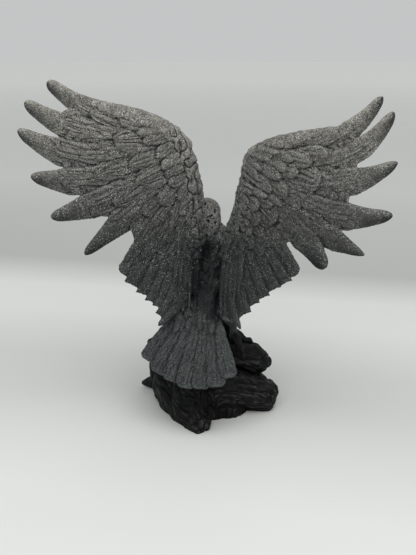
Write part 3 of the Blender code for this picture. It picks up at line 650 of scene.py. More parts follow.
def grow(name, roots, ahead, facing, size, kind=VANE, **settings):
    """Grows a feather at each root with the plumage tree, and gives them as one shell."""
    mesh = bpy.data.meshes.new(name)
    mesh.from_pydata(np.asarray(roots, float), [], [])
    for label, values in (("ahead", ahead), ("facing", facing), ("size", size)):
        write_mark(mesh, label, np.asarray(values, float))
    host = bpy.data.objects.new(name, mesh)
    bpy.context.scene.collection.objects.link(host)
    modifier = host.modifiers.new("plumage", "NODES")
    modifier.node_group = plumage
    for item in plumage.interface.items_tree:
        if item.name in settings:
            modifier[item.identifier] = settings[item.name]
    grown = settled(host)
    points = read(grown.vertices, "co", 3).astype(float)
    along, across = (read(grown.attributes[what].data, "value", 1) for what in ("along", "across"))
    size = read(grown.attributes["size"].data, "vector", 3)
    grown.calc_loop_triangles()
    triangles = read(grown.loop_triangles, "vertices", 3)
    same = np.ones(len(points))
    marks = np.stack([along * size[:, 0], across * size[:, 1], size[:, 1], kind * same, 0 * same], 1)
    bpy.data.objects.remove(host)
    return points, triangles, marks


def tertial_width(t):
    """Half-width along a tertial, narrow at both ends."""
    return 1.2 + 2.6 * math.sin(math.pi * min(0.15 + t, 1)) ** 0.7


def tertial_lift(t):
    """Height of a tertial over the wing: bowed out in the middle, and sunk at its tip."""
    return 1.8 + 1.6 * math.sin(math.pi * t) - 2.4 * t**3


def wing(side, feathers, arm, rows, tertial_from, tertial_by, tertial_to):
    """The shells of one wing."""

    def place(out, height, lift):
        return wing_point(side, out, height, lift)

    def flight_line(share):
        keys = [np.array((*root, *middle, *tip)) for root, middle, tip, _, _ in feathers]
        line = along_curve(keys, share)
        return through(line[0:2], line[2:4], line[4:6])

    shells, rings, marks = [], [], []
    angles = np.linspace(0, 2 * math.pi, 36, endpoint=False)
    for share in np.linspace(0, 1, 110):
        out, height, wide = along_curve(arm, share)
        ahead = (along_curve(arm, min(share + 0.02, 1)) - along_curve(arm, max(share - 0.02, 0)))[:2]
        across = np.array((-ahead[1], ahead[0])) / np.linalg.norm(ahead)
        at = np.array((out, height)) + np.outer(wide * np.cos(angles), across)
        rings.append(place(at[:, 0], at[:, 1], ARM_THICKNESS / 2 * min(1.0, wide / 9) * np.sin(angles)))
        marks.append(np.tile((0, 0, NO_VANE, SKIN, 0), (36, 1)))
    shells.append(shell(rings, marks))

    rings, marks = [], []
    for share in np.linspace(0, 1, 90):
        line, at = flight_line(share)
        row = np.array([line(t) for t in np.linspace(0, at * 0.97, 26)])
        half = WEB_THICKNESS / 2 * np.ones(len(row))
        top, bottom = place(row[:, 0], row[:, 1], half), place(row[:, 0], row[:, 1], -half)
        rings.append(np.concatenate([top, bottom[::-1]]))
        marks.append(np.tile((0, 0, NO_VANE, SKIN, 0), (52, 1)))
    shells.append(shell(rings, marks))

    tips = [np.array(row[2], float) for row in feathers]
    for i, (root, middle, tip, wide, tip_wide) in enumerate(feathers):
        line, at = through(root, middle, tip)
        width = finger_width(wide, tip_wide, at)
        edge, roll, thick = None, FEATHER_ROLL, FEATHER_THICKNESS
        if i >= FIRST_SHORT:
            roll, thick = SHORT_ROLL, SHORT_THICKNESS
        if FIRST_SHORT < i < len(feathers) - 1:
            edge = tips[i - 1] - tips[i + 1]
            ahead = (tips[i] - middle) / np.linalg.norm(tips[i] - middle)
            edge = edge + 1.3 * np.linalg.norm(edge) * np.array((-ahead[1], ahead[0]))
            edge = edge * np.linalg.norm(tips[i - 1] - tips[i + 1]) / np.linalg.norm(edge)

        def tip_share(t, at=at, short=i >= FIRST_SHORT):
            return 0.0 if short else max(0.0, (t - at) / (1 - at))

        shells.append(
            feather(place, line, width, thick, lambda t: 0.6 * (1 - t), roll, edge, tip_share=tip_share)
        )

    for k in range(TERTIALS):
        line, _ = through(*[(a + k * b, c + k * d) for a, b, c, d in (tertial_from, tertial_by, tertial_to)])
        shells.append(
            feather(place, line, tertial_width, TERTIAL_THICKNESS, tertial_lift, TERTIAL_ROLL, stations=64)
        )

    roots, ahead, facing, sizes = [], [], [], []
    for count, start, end, low, high, cover in (*rows, *UNDER_COVERTS):
        for i in range(count):
            share = (i + 0.5) / count
            line, _ = flight_line(share)
            sides = [flight_line(min(max(share + half / count, 0), 1))[0](end) for half in (-0.5, 0.5)]
            (out, height), (tip_out, tip_height) = line(start), line(end)
            root, tip = place(out, height, low), place(tip_out, tip_height, high)
            under = -1 if high < 0 else 1
            roots.append(root)
            ahead.append(tip - root)
            facing.append(under * wing_normal(side, tip_out, tip_height))
            spacing = np.linalg.norm(sides[1] - sides[0])
            fade = 1.0 if share < 0.62 else 1.0 - 0.55 * (share - 0.62) / 0.38
            sizes.append((np.linalg.norm(tip - root), spacing * cover, COVERT_THICKNESS[side] * fade))
    name = "left_coverts" if side < 0 else "right_coverts"
    settings = {
        "Roundness": 3.6, "Root Width": 0.75, "Arch": 0.3, "Unevenness": COVERT_UNEVENNESS[side],
        "Seed": COVERT_SEEDS[side],
    }
    shells.append(grow(name, roots, ahead, facing, sizes, **settings))
    return shells


bird_shells = wing(-1, LEFT_FEATHERS, LEFT_ARM, LEFT_COVERTS, *LEFT_TERTIALS)
bird_shells += wing(1, RIGHT_FEATHERS, RIGHT_ARM, RIGHT_COVERTS, *RIGHT_TERTIALS)

# The body, from the rump up to the neck, with a swelling that carries each wing. It is carved in the same
# model as the wings, with rows of small contour feathers on the breast and the front of the neck.
# From rump to neck: sideways, forward, height, half-width and half-depth
TORSO = (
    (-6, -50, 105, 11, 5), (-5.5, -44, 111, 17, 9), (-4.5, -33, 118, 21, 14), (-3, -22, 128, 25, 22),
    (-2, -13, 142, 28, 26), (-1, -7, 158, 29, 27), (-1, -2, 172, 25, 24), (-8, 2, 184, 12.5, 15.5),
    (-12, 5, 194, 9.6, 11.5), (-14.5, 9, 202, 10, 11.5),
)
# The swelling under each wing's root: sideways, forward, height and radius
SCAPULAR = (
    (13, -10, 184, 6), (18, -20, 174, 13), (21, -28, 154, 12.5), (21, -36, 134, 10.5), (20, -43, 119, 9.5),
    (17, -47, 110, 6.5),
)


def as_drawn(points):
    """Points where they are listed."""
    return np.asarray(points, float)


def clad(name, centres, radii, rows, length, width, thickness, seed, front, reach):
    """Small feathers in staggered rows round a tube, pointing along it, where it faces forward by front."""
    keys = np.concatenate([np.asarray(centres, float), np.asarray(radii, float)], 1)
    roots, ahead, facing, sizes = [], [], [], []
    for row in range(rows):
        share = reach[0] + (reach[1] - reach[0]) * (row + 0.5) / rows
        step = 0.5 / rows
        here, after = along_curve(keys, share), along_curve(keys, min(share + step, 1.0))
        count = max(6, int(max(here[3], here[4]) * 2 * math.pi / width / 2))
        down = after[:3] - here[:3]
        down = down / np.linalg.norm(down)
        across = level_across(down)
        up = np.cross(across, down)
        for i in range(count):
            angle = 2 * math.pi * (i + 0.5 * (row % 2)) / count
            spots = []
            for key in (here, after):
                spots.append(key[:3] + key[3] * math.cos(angle) * across + key[4] * math.sin(angle) * up)
            out = math.cos(angle) * across / here[3] + math.sin(angle) * up / here[4]
            out = out / np.linalg.norm(out)
            if out[1] < front:
                continue
            way = (spots[1] - spots[0]) / np.linalg.norm(spots[1] - spots[0])
            roots.append(spots[0] - out * thickness * 0.35 - way * length * 0.3)
            ahead.append(way + 0.1 * out)
            facing.append(out)
            sizes.append((length, width, thickness))
    settings = {
        "Points Along": 5, "Points Across": 5, "Roundness": 3.0, "Root Width": 0.75, "Unevenness": 0.1,
        "Seed": seed,
    }
    return grow(name, roots, ahead, facing, sizes, **settings)


torso_path, torso_sizes = [row[:3] for row in TORSO], [row[3:] for row in TORSO]
bird_shells.append(tube(as_drawn, torso_path, torso_sizes, sides=60, stations=70))
# Rows, a feather's length, width and thickness, seed, least facing forward, and reach down from the neck
for name, *plan in (
    ("breast_feathers", 11, 13, 5.2, 2.2, 31, 0.25, (0.33, 1.0)),
    ("neck_feathers", 5, 11, 4.6, 2.0, 37, 0.7, (0.04, 0.36)),
):
    bird_shells.append(clad(name, torso_path[::-1], torso_sizes[::-1], *plan))
for side in (-1, 1):
    centres = [(side * r[0], *r[1:3]) for r in SCAPULAR]
    radii = [(r[3], r[3]) for r in SCAPULAR]
    bird_shells.append(tube(as_drawn, centres, radii))

# The head, turned to look over the left shoulder: skull, hooked beak, heavy brows and eyes. The back of it
# is pitted with small drilled holes where the carver roughed in the short feathers of the nape.
HEAD_AT = np.array((-15.5, 10.0, 201.5))
HEAD_POSE = np.array(Matrix.Rotation(math.radians(35), 3, "Z") @ Matrix.Rotation(math.radians(-8), 3, "X"))
# Along the skull and each half of the beak: forward, height, half-width and half-height
SKULL = (
    (-15.5, -3, 6, 7), (-12, -0.5, 11, 11.5), (-5, 0.8, 13.5, 13), (4, 1, 12.8, 12), (11, 1, 9.6, 9.5),
    (17, 0.5, 6, 6.5),
)
UPPER_BEAK = (
    (13, 1.5, 5.6, 5.4), (19, 2.4, 4.6, 5.0), (25, 1.2, 3.6, 4.4), (29.5, -2.4, 2.5, 3.1), (31, -9, 0.8, 0.9),
)
LOWER_BEAK = ((11, -5.4, 5, 3.2), (18, -5.4, 3.8, 2.4), (24.5, -5.8, 1.8, 1.5))
# A brow and an eye: sideways, forward, height and radius
BROW = ((6.5, 1, 9.2, 2.4), (8.8, 9, 8.0, 2.6), (6.4, 16.5, 5.4, 1.6))
EYE = (8.0, 10.5, 3.6, 2.9)
# The nape, from the shoulders up to the back of the skull: its middle, half-width and half-depth
NAPE = (
    (-7, -11, 174, 10.5, 9.5), (-8.5, -7.5, 186, 11.2, 11), (-9, -4, 197, 12.2, 11),
    (-10.5, 0, 206, 11, 10.5), (-12.5, 3, 214, 7, 7.5),
)


def on_head(points):
    """Points of the head, listed as if it faced straight ahead from its own middle."""
    return HEAD_AT + np.asarray(points, float) @ HEAD_POSE.T


def ball(place, centre, radius, kind=SKIN):
    """A round ball."""
    heights = np.cos(np.linspace(0.08, math.pi - 0.08, 18))
    centres = [(centre[0], centre[1] + h * radius, centre[2]) for h in heights]
    radii = [(radius * math.sqrt(1 - h * h),) * 2 for h in heights]
    return tube(place, centres[::-1], radii[::-1], kind, sides=24, stations=24)


for part, kind in ((SKULL, HEAD), (UPPER_BEAK, SKIN), (LOWER_BEAK, SKIN)):
    bird_shells.append(tube(on_head, [(0, r[0], r[1]) for r in part], [r[2:] for r in part], kind, sides=40))
bird_shells.append(tube(as_drawn, [r[:3] for r in NAPE], [r[3:] for r in NAPE], HEAD, sides=40))
for side in (-1, 1):
    centres, radii = [(side * row[0], *row[1:3]) for row in BROW], [(row[3], row[3] * 0.8) for row in BROW]
    bird_shells.append(tube(on_head, centres, radii))
    bird_shells.append(ball(on_head, (side * EYE[0], *EYE[1:3]), EYE[3]))

# The tail. Seven blunt feathers spread in a fan that hangs down and back from the rump, with small coverts
# over its root. They are carved as one fan with the rest of the bird.
TAIL_ROOT, TAIL_SLOPE = np.array((-5.5, -44.0, 112.0)), math.radians(54)
TAIL_THICKNESS, TAIL_ROLL, TAIL_DROOP, TAIL_MIDDLE, TAIL_QUILL = 4.8, 1.1, 0.0012, -8.0, 4.5
# Each feather's start and tip, across and down from the root, and its half-width
TAIL_FEATHERS = (
    ((-23, -3), (-49.5, 47), 10.4), ((-11, -4), (-38, 58.5), 10.4), ((-5, -6), (-23, 65.5), 10.6),
    ((-2, -6), (-8.5, 71), 10.2), ((2, -6), (6.5, 70.5), 9.8), ((6, -6), (20.5, 67), 10.2),
    ((9, -5), (32, 57), 8.6),
)


def on_tail(across, down, lift):
    """Points of the tail's surface, across and down from its root, lifted off it."""
    along = np.array((0, -math.cos(TAIL_SLOPE), -math.sin(TAIL_SLOPE)))
    out = np.array((0, -math.sin(TAIL_SLOPE), math.cos(TAIL_SLOPE)))
    across, down, lift = (np.asarray(v, float)[..., None] for v in (across, down, lift))
    return TAIL_ROOT + across * np.array((1.0, 0, 0)) + down * along + (lift - TAIL_DROOP * across**2) * out


for start, tip, half_width in TAIL_FEATHERS:
    start, tip = np.array(start, float), np.array(tip, float)
    lift = 2.2 * (1 - abs(tip[0] - TAIL_MIDDLE) / 42)

    def tail_width(t, half_width=half_width):
        """Half-width along a tail feather, which ends blunt with round corners."""
        corner = math.sqrt(max(1 - max((t - 0.9) / 0.115, 0) ** 2.2, 0.3))
        return (TAIL_QUILL + (half_width - TAIL_QUILL) * t**0.8) * corner

    bird_shells.append(
        feather(
            on_tail, lambda t, a=start, b=tip: a + (b - a) * t, tail_width, TAIL_THICKNESS,
            lambda t, lift=lift: lift, TAIL_ROLL, flat=0.3,
        )
    )

# The coverts run down from the back over the root of the tail, and hide where it joins the rump
TAIL_COVERTS, COVERT_START, COVERT_END = 7, -26, 20


def tail_covert_width(t):
    """Half-width along a tail covert, down to its round end."""
    return 4.8 * math.sqrt(max(1 - t**3, 0.06))


def tail_covert_lift(t):
    """Height of a tail covert over the tail: its root is sunk in the rump, and its tip lies down."""
    return 2.6 + 12 * (1 - t) ** 1.3 - 7 * max(0, 1 - t / 0.35) ** 1.5


for i in range(TAIL_COVERTS):
    across = -19 + 27 * i / (TAIL_COVERTS - 1)
    start, tip = np.array((0.75 * across, COVERT_START)), np.array((1.35 * across, COVERT_END - 3 * (i % 2)))
    bird_shells.append(
        feather(
            on_tail, lambda t, a=start, b=tip: a + (b - a) * t, tail_covert_width, 3.2, tail_covert_lift, 0.5
        )
    )

# The legs: feathered thighs, bare shanks, and toes that grip the perch with hooked talons. The feet are
# painted black with the stump.
FOOT_SPREAD, TOE_RADIUS, TOE_LENGTH, TOE_ARCH, TOE_SINK, TALON_LENGTH = 13.5, 4.0, 19.0, 3.0, 1.2, 10.0
# Share of the foot spread, forward, height above the perch, half-width and half-depth
LEG = (
    (0.66, -6, 66, 9.5, 16), (0.64, -4, 52, 9, 15.5), (0.68, 0, 38, 7, 12), (0.82, 4, 29, 5.4, 8.0),
    (0.97, 7.5, 19, 4.0, 5.0), (1.02, 10, 11, 3.8, 4.2), (1.02, 11, 6, 4.0, 4.4), (1.0, 12, 3, 5.0, 5.2),
)
# Each toe's turn outward in degrees and share of the toe length. Along a toe: shares of its length, radius
# and arch. Along a talon: shares of its length forward and down from the toe's end, then its radius
TOES = ((-22, 0.9), (12, 1.0), (75, 0.72), (140, 0.8))
TOE_JOINTS = ((0.0, 1.0, 0.0), (0.45, 1.15, 1.0), (0.75, 0.86, 0.4), (1.0, 0.8, 0.0))
TALON = ((-0.2, 0.0, 2.8), (0.34, -0.08, 2.7), (0.6, 0.45, 2.2), (0.56, 1.0, 1.2))


def resting_height(at, radius):
    """Height of the centre of a toe of this radius where it lies on the perch."""
    forward, middle, perch_radius = perch_at(at[0])
    reach = perch_radius + radius - TOE_SINK
    return middle + math.sqrt(max(reach**2 - (at[1] - forward) ** 2, (0.25 * reach) ** 2))


for side in (-1, 1):
    foot = np.array((side * FOOT_SPREAD, PERCH_FORWARD, 0.0))
    centres = [(side * r[0] * FOOT_SPREAD, r[1], PERCH_TOP + r[2]) for r in LEG]
    radii = [r[3:] for r in LEG]
    bird_shells.append(tube(as_drawn, centres, radii, sides=40, stations=60))
    plan = (6, 11, 4.2, 1.8, 51 + side, -2.0, (0.1, 0.92))
    bird_shells.append(clad("thigh_feathers", centres[:5], radii[:5], *plan))
    for degrees, share in TOES:
        angle = math.radians(degrees)
        way = np.array((side * math.sin(angle), math.cos(angle), 0.0))
        points, sizes = [], []
        for reach, thick, arch in TOE_JOINTS:
            at = foot + way * reach * share * TOE_LENGTH
            radius = TOE_RADIUS * thick
            at[2] = resting_height(at, radius) + arch * TOE_ARCH
            points.append(at)
            sizes.append((radius, radius))
        bird_shells.append(tube(as_drawn, points, sizes, CLAW, sides=20))
        down = np.array((0.0, 0.0, -1.0))
        claw = [points[-1] + TALON_LENGTH * (forward * way + below * down) for forward, below, _ in TALON]
        bird_shells.append(tube(as_drawn, claw, [(r, r) for _, _, r in TALON], CLAW, sides=16, stations=24))

# The casting: all of the bird comes out of its mould as one piece. The mould keeps the shafts, the splits
# in the vanes, the ribs that the knife left along them, the pits of the nape and the small scales and lumps
# of the skin. It is painted dark grey with coarse glitter, with painted highlight on the ridges and painted
# shade in the grooves.
BIRD_VOXEL, BIRD_TRIANGLES = 0.72, 192000
FINE_LUMP, BROAD_LUMP, SHAFT_HEIGHT = 0.15, 0.35, 0.3
SPLIT_SPACING, SPLIT_WIDTH, SPLIT_DEPTH = 9.5, 0.6, 0.5
RIB_SPACING, RIB_LENGTH, RIB_HEIGHT = 2.4, 30.0, 0.42
LINE_SPACING, LINE_LENGTH, LINE_DEPTH, RIGHT_LINE_SHARE = 3.6, 44.0, 0.6, 0.6
SCALE_SPACING, SCALE_HEIGHT = 6.5, 0.65
FACE_SCALE_SPACING, FACE_SCALE_HEIGHT, FACE_FROM = 3.4, 0.45, 11.0
BARB_SLANT = 1.2
PIT_SPACING, PIT_RADIUS, PIT_DEPTH = 4.6, 1.0, 1.5
BACK_LUMP, BACK_ROUGHNESS = 4.2, 1.5
# A furrow on each side of the backbone: how far out it lies, its half-width, foot and head, and its depth
FURROWS, FURROW_DEPTH = ((-13.5, 3.2, 124, 172), (5.5, 4.6, 106, 184)), 0.7
# The shadow between the wings: its middle, half-width, foot, head, and how dark it is
DARK_STRIP = (-4.0, 14.0, 114.0, 186.0, 0.7)


def noise_at(places):
    """Smooth noise at each place."""
    return np.array([noise.noise(Vector(place)) for place in places.tolist()])


def scaly(places):
    """How high each place stands on its scale, from the seam round it to its middle."""
    nearest = np.array([noise.voronoi(Vector(place))[0] for place in places.tolist()])
    return np.clip((nearest[:, 1] - nearest[:, 0]) * 2.2, 0, 1) - 0.6


def between(values, low, high, fade, high_fade=None):
    """1 between two values, and fading to 0 inside each end."""
    return np.clip((values - low) / fade, 0, 1) * np.clip((high - values) / (high_fade or fade), 0, 1)


bird, marks = fuse("eagle_casting", bird_shells, BIRD_VOXEL)
mesh = bird.data
points, edges = read(mesh.vertices, "co", 3), read(mesh.edges, "vertices", 2)
points = eased(points, edges, 2, 0.4)
move_points(mesh, points)
normals = read(mesh.vertex_normals, "vector", 3)
x, y, z = points.T / MM
along, across, half_width, kind, finger = marks.T
is_skin, is_vane, is_head = kind < 0.5, np.abs(kind - VANE) < 0.5, np.abs(kind - HEAD) < 0.5
neck = is_skin & (z > 188) & (np.abs(x + 12) < 18) & (y > -12)
small, large = noise_at(points * 420), noise_at(points * 90)
push = FINE_LUMP * small + BROAD_LUMP * large

# Feathers: splits between the barbs, a raised shaft, low ribs, and thin lines that the knife cut
on_vane = is_vane & (half_width > 6)
barb = along - BARB_SLANT * np.abs(across) + 2.5 * large
split = barb / SPLIT_SPACING - np.round(barb / SPLIT_SPACING)
edge_share = np.clip(np.abs(across) / half_width, 0, 1)
split = np.exp(-((split * SPLIT_SPACING / SPLIT_WIDTH) ** 2)) * edge_share**0.7
push -= np.where(on_vane, SPLIT_DEPTH * split, 0)
push += np.where(on_vane, SHAFT_HEIGHT * np.exp(-((across / 0.8) ** 2)), 0)
vane = is_vane & (half_width > 2.5)
wide = np.clip((half_width[vane] - 3.5) / 5, 0.12, 1)
ribs = np.stack([across / RIB_SPACING, along / RIB_LENGTH, half_width], 1)[vane]
push[vane] += RIB_HEIGHT * wide * noise_at(ribs)
lines = noise_at(np.stack([across / LINE_SPACING, along / LINE_LENGTH, half_width + 7], 1)[vane])
wide = wide * np.where(x[vane] > 0, RIGHT_LINE_SHARE, 1)
push[vane] -= LINE_DEPTH * wide * np.clip(1 - np.abs(lines) / 0.16, 0, 1)

# Skin: scales, which the fingertips lose because they were rubbed smooth, and smaller ones on the face
skin = is_skin & (z > 100)
push[skin] += SCALE_HEIGHT * scaly((points * (1, 1, 0.7) / (SCALE_SPACING * MM))[skin])
push *= 1 - 0.75 * np.clip(2.5 * finger, 0, 1)
face = (is_head | neck) & (y > FACE_FROM)
push[face] += FACE_SCALE_HEIGHT * scaly(points[face] / (FACE_SCALE_SPACING * MM))

# Down the middle of the back the model was left rough, as a strip of small lumps
back_strip = is_skin & (y < -12) & (np.abs(x) < 32) & (z > 100)
lumps = points[back_strip] * (1, 1, 0.6) / (BACK_LUMP * MM)
cracks = np.clip(1 - np.abs(noise_at(lumps * 0.6)) / 0.14, 0, None)
push[back_strip] += BACK_ROUGHNESS * (noise_at(lumps) - cracks)

# The nape's drilled pits
on_nape = (is_head | neck) & ~face
cells = points[on_nape] / (PIT_SPACING * MM)
nearest = np.array([noise.voronoi(Vector(place))[0][0] for place in cells.tolist()])
pit = np.zeros(len(points))
pit[on_nape] = np.clip(1.6 - nearest * PIT_SPACING / PIT_RADIUS, 0, 1)
push -= PIT_DEPTH * pit

# The furrows, with a blot where the neck meets them, both sunk here and darkened with painted shade in the
# paint
behind = np.clip((-12 - y) / 6, 0, 1)
furrow = np.zeros(len(points))
for middle, half, foot_z, head_z in FURROWS:
    across_it = np.clip(1.3 * np.exp(-(((x - middle) / half) ** 2)), 0, 1)
    furrow = np.maximum(furrow, across_it * between(z, foot_z, head_z, 8) * behind)
blot = np.clip(6 * large + 0.4, 0, 1) * between(z, 160, 184, 6)
furrow = np.maximum(furrow, blot * behind * np.clip((12 - np.abs(x + 6)) / 3, 0, 1))
furrow = furrow * np.clip(0.9 + 2.0 * large + small, 0, 1)
push -= FURROW_DEPTH * furrow

points = points + normals * (push * MM)[:, None]
move_points(mesh, points)
middle, half, foot_z, head_z, darkness = DARK_STRIP
shadow_strip = darkness * np.exp(-(((x - middle) / half) ** 2)) * behind * between(z, foot_z, head_z, 12, 10)
write_mark(mesh, "hollow", hollows(mesh, 16, 0.6))
write_mark(mesh, "feather", np.stack([along, across, half_width], 1))
write_mark(mesh, "black", np.clip(kind - HEAD, 0, 1))
# Darker towards the tips of the long flight feathers, and more on their lower edges as painted shade
write_mark(mesh, "finger", finger * (0.55 + 0.45 * np.clip(-1.6 * across / half_width, -1, 1)))
# Painted shade in the furrows, the blot and the nape's pits, and the painted shadow between the wings
write_mark(mesh, "valley", np.maximum(np.maximum(furrow, pit) * 0.95, shadow_strip))
write_mark(mesh, "nape", np.where(on_nape, 1.0, 0.0))
thinned(bird, BIRD_TRIANGLES)

# Flecks of glitter in the paint: flat flakes, each turned its own way, so that a few of them shine
flecks, add, given, result = shader_group(
    "glitter_flecks",
    (
        ("Vector", "Vector", None), ("Fleck Size", "Float", 0.8), ("Share", "Float", 0.2),
        ("Tilt", "Float", 0.5), ("Normal", "Vector", None),
    ),
    (("Fleck", "Float"), ("Shine", "Float"), ("Normal", "Vector")),
)
per_metre = sum_up(add, "DIVIDE", 1000.0, given["Fleck Size"])
cells = add("ShaderNodeTexVoronoi", {"Vector": given["Vector"], "Scale": per_metre, "Randomness": 1.0})
parts = add("ShaderNodeSeparateColor", {0: cells.outputs["Color"]}).outputs
lot = sum_up(add, "LESS_THAN", parts[0], given["Share"])
body = sum_up(add, "LESS_THAN", cells.outputs["Distance"], 0.42)
fleck = sum_up(add, "MULTIPLY", lot, body)
flecks.links.new(fleck, result["Fleck"])
flecks.links.new(parts[1], result["Shine"])
turned = cells.outputs["Color"]
for operation, feeds in (
    ("SUBTRACT", {1: (0.5, 0.5, 0.5)}), ("SCALE", {"Scale": given["Tilt"]}), ("SCALE", {"Scale": fleck}),
    ("ADD", {1: given["Normal"]}), ("NORMALIZE", {}),
):
    turned = add("ShaderNodeVectorMath", {0: turned, **feeds}, operation=operation).outputs[0]
flecks.links.new(turned, result["Normal"])

# The grey, with painted light from above: warm and pale high on the wings, cool and dark low down and lighter
# again at the tail's end, with painted shade in the hollows. Then the flecks that shine and those that don't,
# each duller low on the tail and brighter high on the wings, which is painted light too
WARM, SHADED_COOL_GREY, SHADOW = (0.132, 0.128, 0.117, 1), (0.0172, 0.0200, 0.0204, 1), (0.004, 0.005, 0.006, 1)
SHINING_LOW, SHINING_HIGH = (0.32, 0.34, 0.34, 1), (0.85, 0.87, 0.85, 1)
DIM_LOW, DIM_HIGH = (0.035, 0.04, 0.044, 1), (0.15, 0.15, 0.14, 1)
FLECK_SIZE, FLECK_TILT, BARB_SPACING, BARB_HEIGHT = 0.72, 1.3, 1.7, 0.09
glitter_paint, add, shader = paint("glitter_grey_paint")
tree = glitter_paint.node_tree
object_place = add("ShaderNodeTexCoord").outputs["Object"]
height = add("ShaderNodeSeparateXYZ", {0: object_place}).outputs[2]
sunk = mark(add, "hollow")["Fac"]
surface = use_group(add, grit, {"Vector": object_place, "Grain Size": 1.2, "Depth": 0.42})
# Painted light from above: warm and pale high up, cool and dark low down
tone = mixed(add, scaled_to(add, height, 0.175, 0.3), SHADED_COOL_GREY, WARM)
tone = mixed(add, sum_up(add, "MULTIPLY", mark(add, "nape")["Fac"], 0.35), tone, WARM)
shade = scaled_to(add, clouds(add, object_place, 900.0, 2.0, 0.7), 0.35, 0.65, 0.25, 1.95)
shade = sum_up(add, "MULTIPLY", shade, scaled_to(add, surface["Tone"], 0, 1, 0.7, 1.3))
# Painted shade in the grooves and painted highlight on the ridges
shade = sum_up(add, "MULTIPLY", shade, scaled_to(add, sunk, 0.5, -0.45, 0.35, 1.45))
# Lighter again at the bottom, on the tail's end
shade = sum_up(add, "MULTIPLY", shade, scaled_to(add, height, 0.105, 0.125, 1.5, 1.0))
shade = add("ShaderNodeCombineXYZ", {0: shade, 1: shade, 2: shade}).outputs[0]
tone = mixed(add, 1.0, tone, shade, "MULTIPLY")
# Painted shade: the deep grooves go towards the shadow colour
tone = mixed(add, scaled_to(add, sunk, 0.12, 0.7, 0.0, 0.95), tone, SHADOW)
# Darker towards the tips of the long flight feathers, and more on their lower edges as painted shade
finger = mark(add, "finger")["Fac"]
tone = mixed(add, scaled_to(add, finger, 0.1, 0.8, 0.0, 0.85), tone, SHADOW)
# Painted shade in the furrows, the blot and the nape's pits, and the painted shadow between the wings
valley = mark(add, "valley")["Fac"]
tone = mixed(add, valley, tone, SHADOW)
black = mark(add, "black")["Fac"]
tone = mixed(add, black, tone, BLACK)
lie = mark(add, "feather")["Vector"]
along_vane, across_vane, vane_width = add("ShaderNodeSeparateXYZ", {0: lie}).outputs
barb = sum_up(add, "MULTIPLY_ADD", sum_up(add, "ABSOLUTE", across_vane), -BARB_SLANT, along_vane)
barb = sum_up(add, "MULTIPLY_ADD", clouds(add, object_place, 160.0, 2.0), 2.4, barb)
barb = sum_up(add, "SINE", sum_up(add, "MULTIPLY", barb, 2 * math.pi / BARB_SPACING))
barb = sum_up(add, "MULTIPLY", barb, scaled_to(add, vane_width, 90.0, 40.0))
bumps = sum_up(add, "MULTIPLY_ADD", barb, BARB_HEIGHT * MM, surface["Height"])
relief = add("ShaderNodeBump", {"Height": bumps, "Distance": 1.0, "Strength": 0.9}).outputs[0]
share = scaled_to(add, clouds(add, object_place, 55.0, 3.0, 0.6), 0.38, 0.62, 0.15, 0.8)
# Fewer flecks in the grooves, as painted shade
share = sum_up(add, "MULTIPLY", share, scaled_to(add, sunk, 0.5, -0.3, 0.3, 1.0))
# Fewer flecks low down, as painted light from above
share = sum_up(add, "MULTIPLY", share, scaled_to(add, height, 0.14, 0.28, 0.65, 1.0))
share = sum_up(add, "MULTIPLY", share, scaled_to(add, finger, 0.2, 0.8, 1.0, 0.4))
share = sum_up(add, "MULTIPLY", share, sum_up(add, "SUBTRACT", 1.0, sum_up(add, "MAXIMUM", black, valley)))
feeds = {"Vector": object_place, "Fleck Size": FLECK_SIZE, "Share": share, "Tilt": FLECK_TILT}
glitter = use_group(add, flecks, {**feeds, "Normal": relief})
bright = sum_up(add, "POWER", glitter["Shine"], 2.2)
# Flecks brighter high up and duller low down: painted light from above
shining = mixed(add, scaled_to(add, height, 0.1, 0.22), SHINING_LOW, SHINING_HIGH)
dim = mixed(add, scaled_to(add, height, 0.12, 0.28), DIM_LOW, DIM_HIGH)
tone = mixed(add, glitter["Fleck"], tone, mixed(add, bright, dim, shining))
tree.links.new(tone, shader.inputs["Base Color"])
tree.links.new(scaled_to(add, glitter["Fleck"], 0.0, 1.0, 0.66, 0.42), shader.inputs["Roughness"])
tree.links.new(sum_up(add, "MULTIPLY", glitter["Fleck"], 0.6), shader.inputs["Metallic"])
# Less shine where the painted shade lies
tree.links.new(scaled_to(add, valley, 0.0, 0.9, 0.3, 0.1), shader.inputs["Specular IOR Level"])
tree.links.new(glitter["Normal"], shader.inputs["Normal"])
bird.data.materials.append(glitter_paint)
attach(bird, "root")
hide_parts("eagle")

# The table and the light. A plain pale board stands in a tent of white cloth, which lights it softly from
# above, from both sides and a little from the far wall.
# The board's tone from near the camera to far behind, painted light: lighter and darker bands that stand in
# for how the tent's light falls on the board and the far wall
FLOOR_TONES = (
    (-0.3, 0.70), (-0.19, 0.69), (-0.015, 0.59), (0.1, 0.61), (0.25, 0.74), (0.36, 0.745), (0.5, 0.505),
    (1.2, 0.70),
)
FLOOR_SPOKES = 64
ring_at = [0.0] + [0.02 * 1.12**k for k in range(54)]
floor_points = [(0.0, 0.0, 0.0)]
floor_faces = []
for k, reach in enumerate(ring_at[1:]):
    start = 1 + FLOOR_SPOKES * k
    for i in range(FLOOR_SPOKES):
        angle = 2 * math.pi * i / FLOOR_SPOKES
        floor_points.append((reach * math.cos(angle), reach * math.sin(angle), 0.0))
        j = (i + 1) % FLOOR_SPOKES
        inner = start - FLOOR_SPOKES
        floor_faces.append((0, 1 + i, 1 + j) if k == 0 else (inner + i, start + i, start + j, inner + j))
floor_mesh = bpy.data.meshes.new("table")
floor_mesh.from_pydata(floor_points, [], floor_faces)
floor = bpy.data.objects.new("table", floor_mesh)
bpy.context.scene.collection.objects.link(floor)
white_board, add, shader = paint("white_board")
place = add("ShaderNodeTexCoord").outputs["Object"]
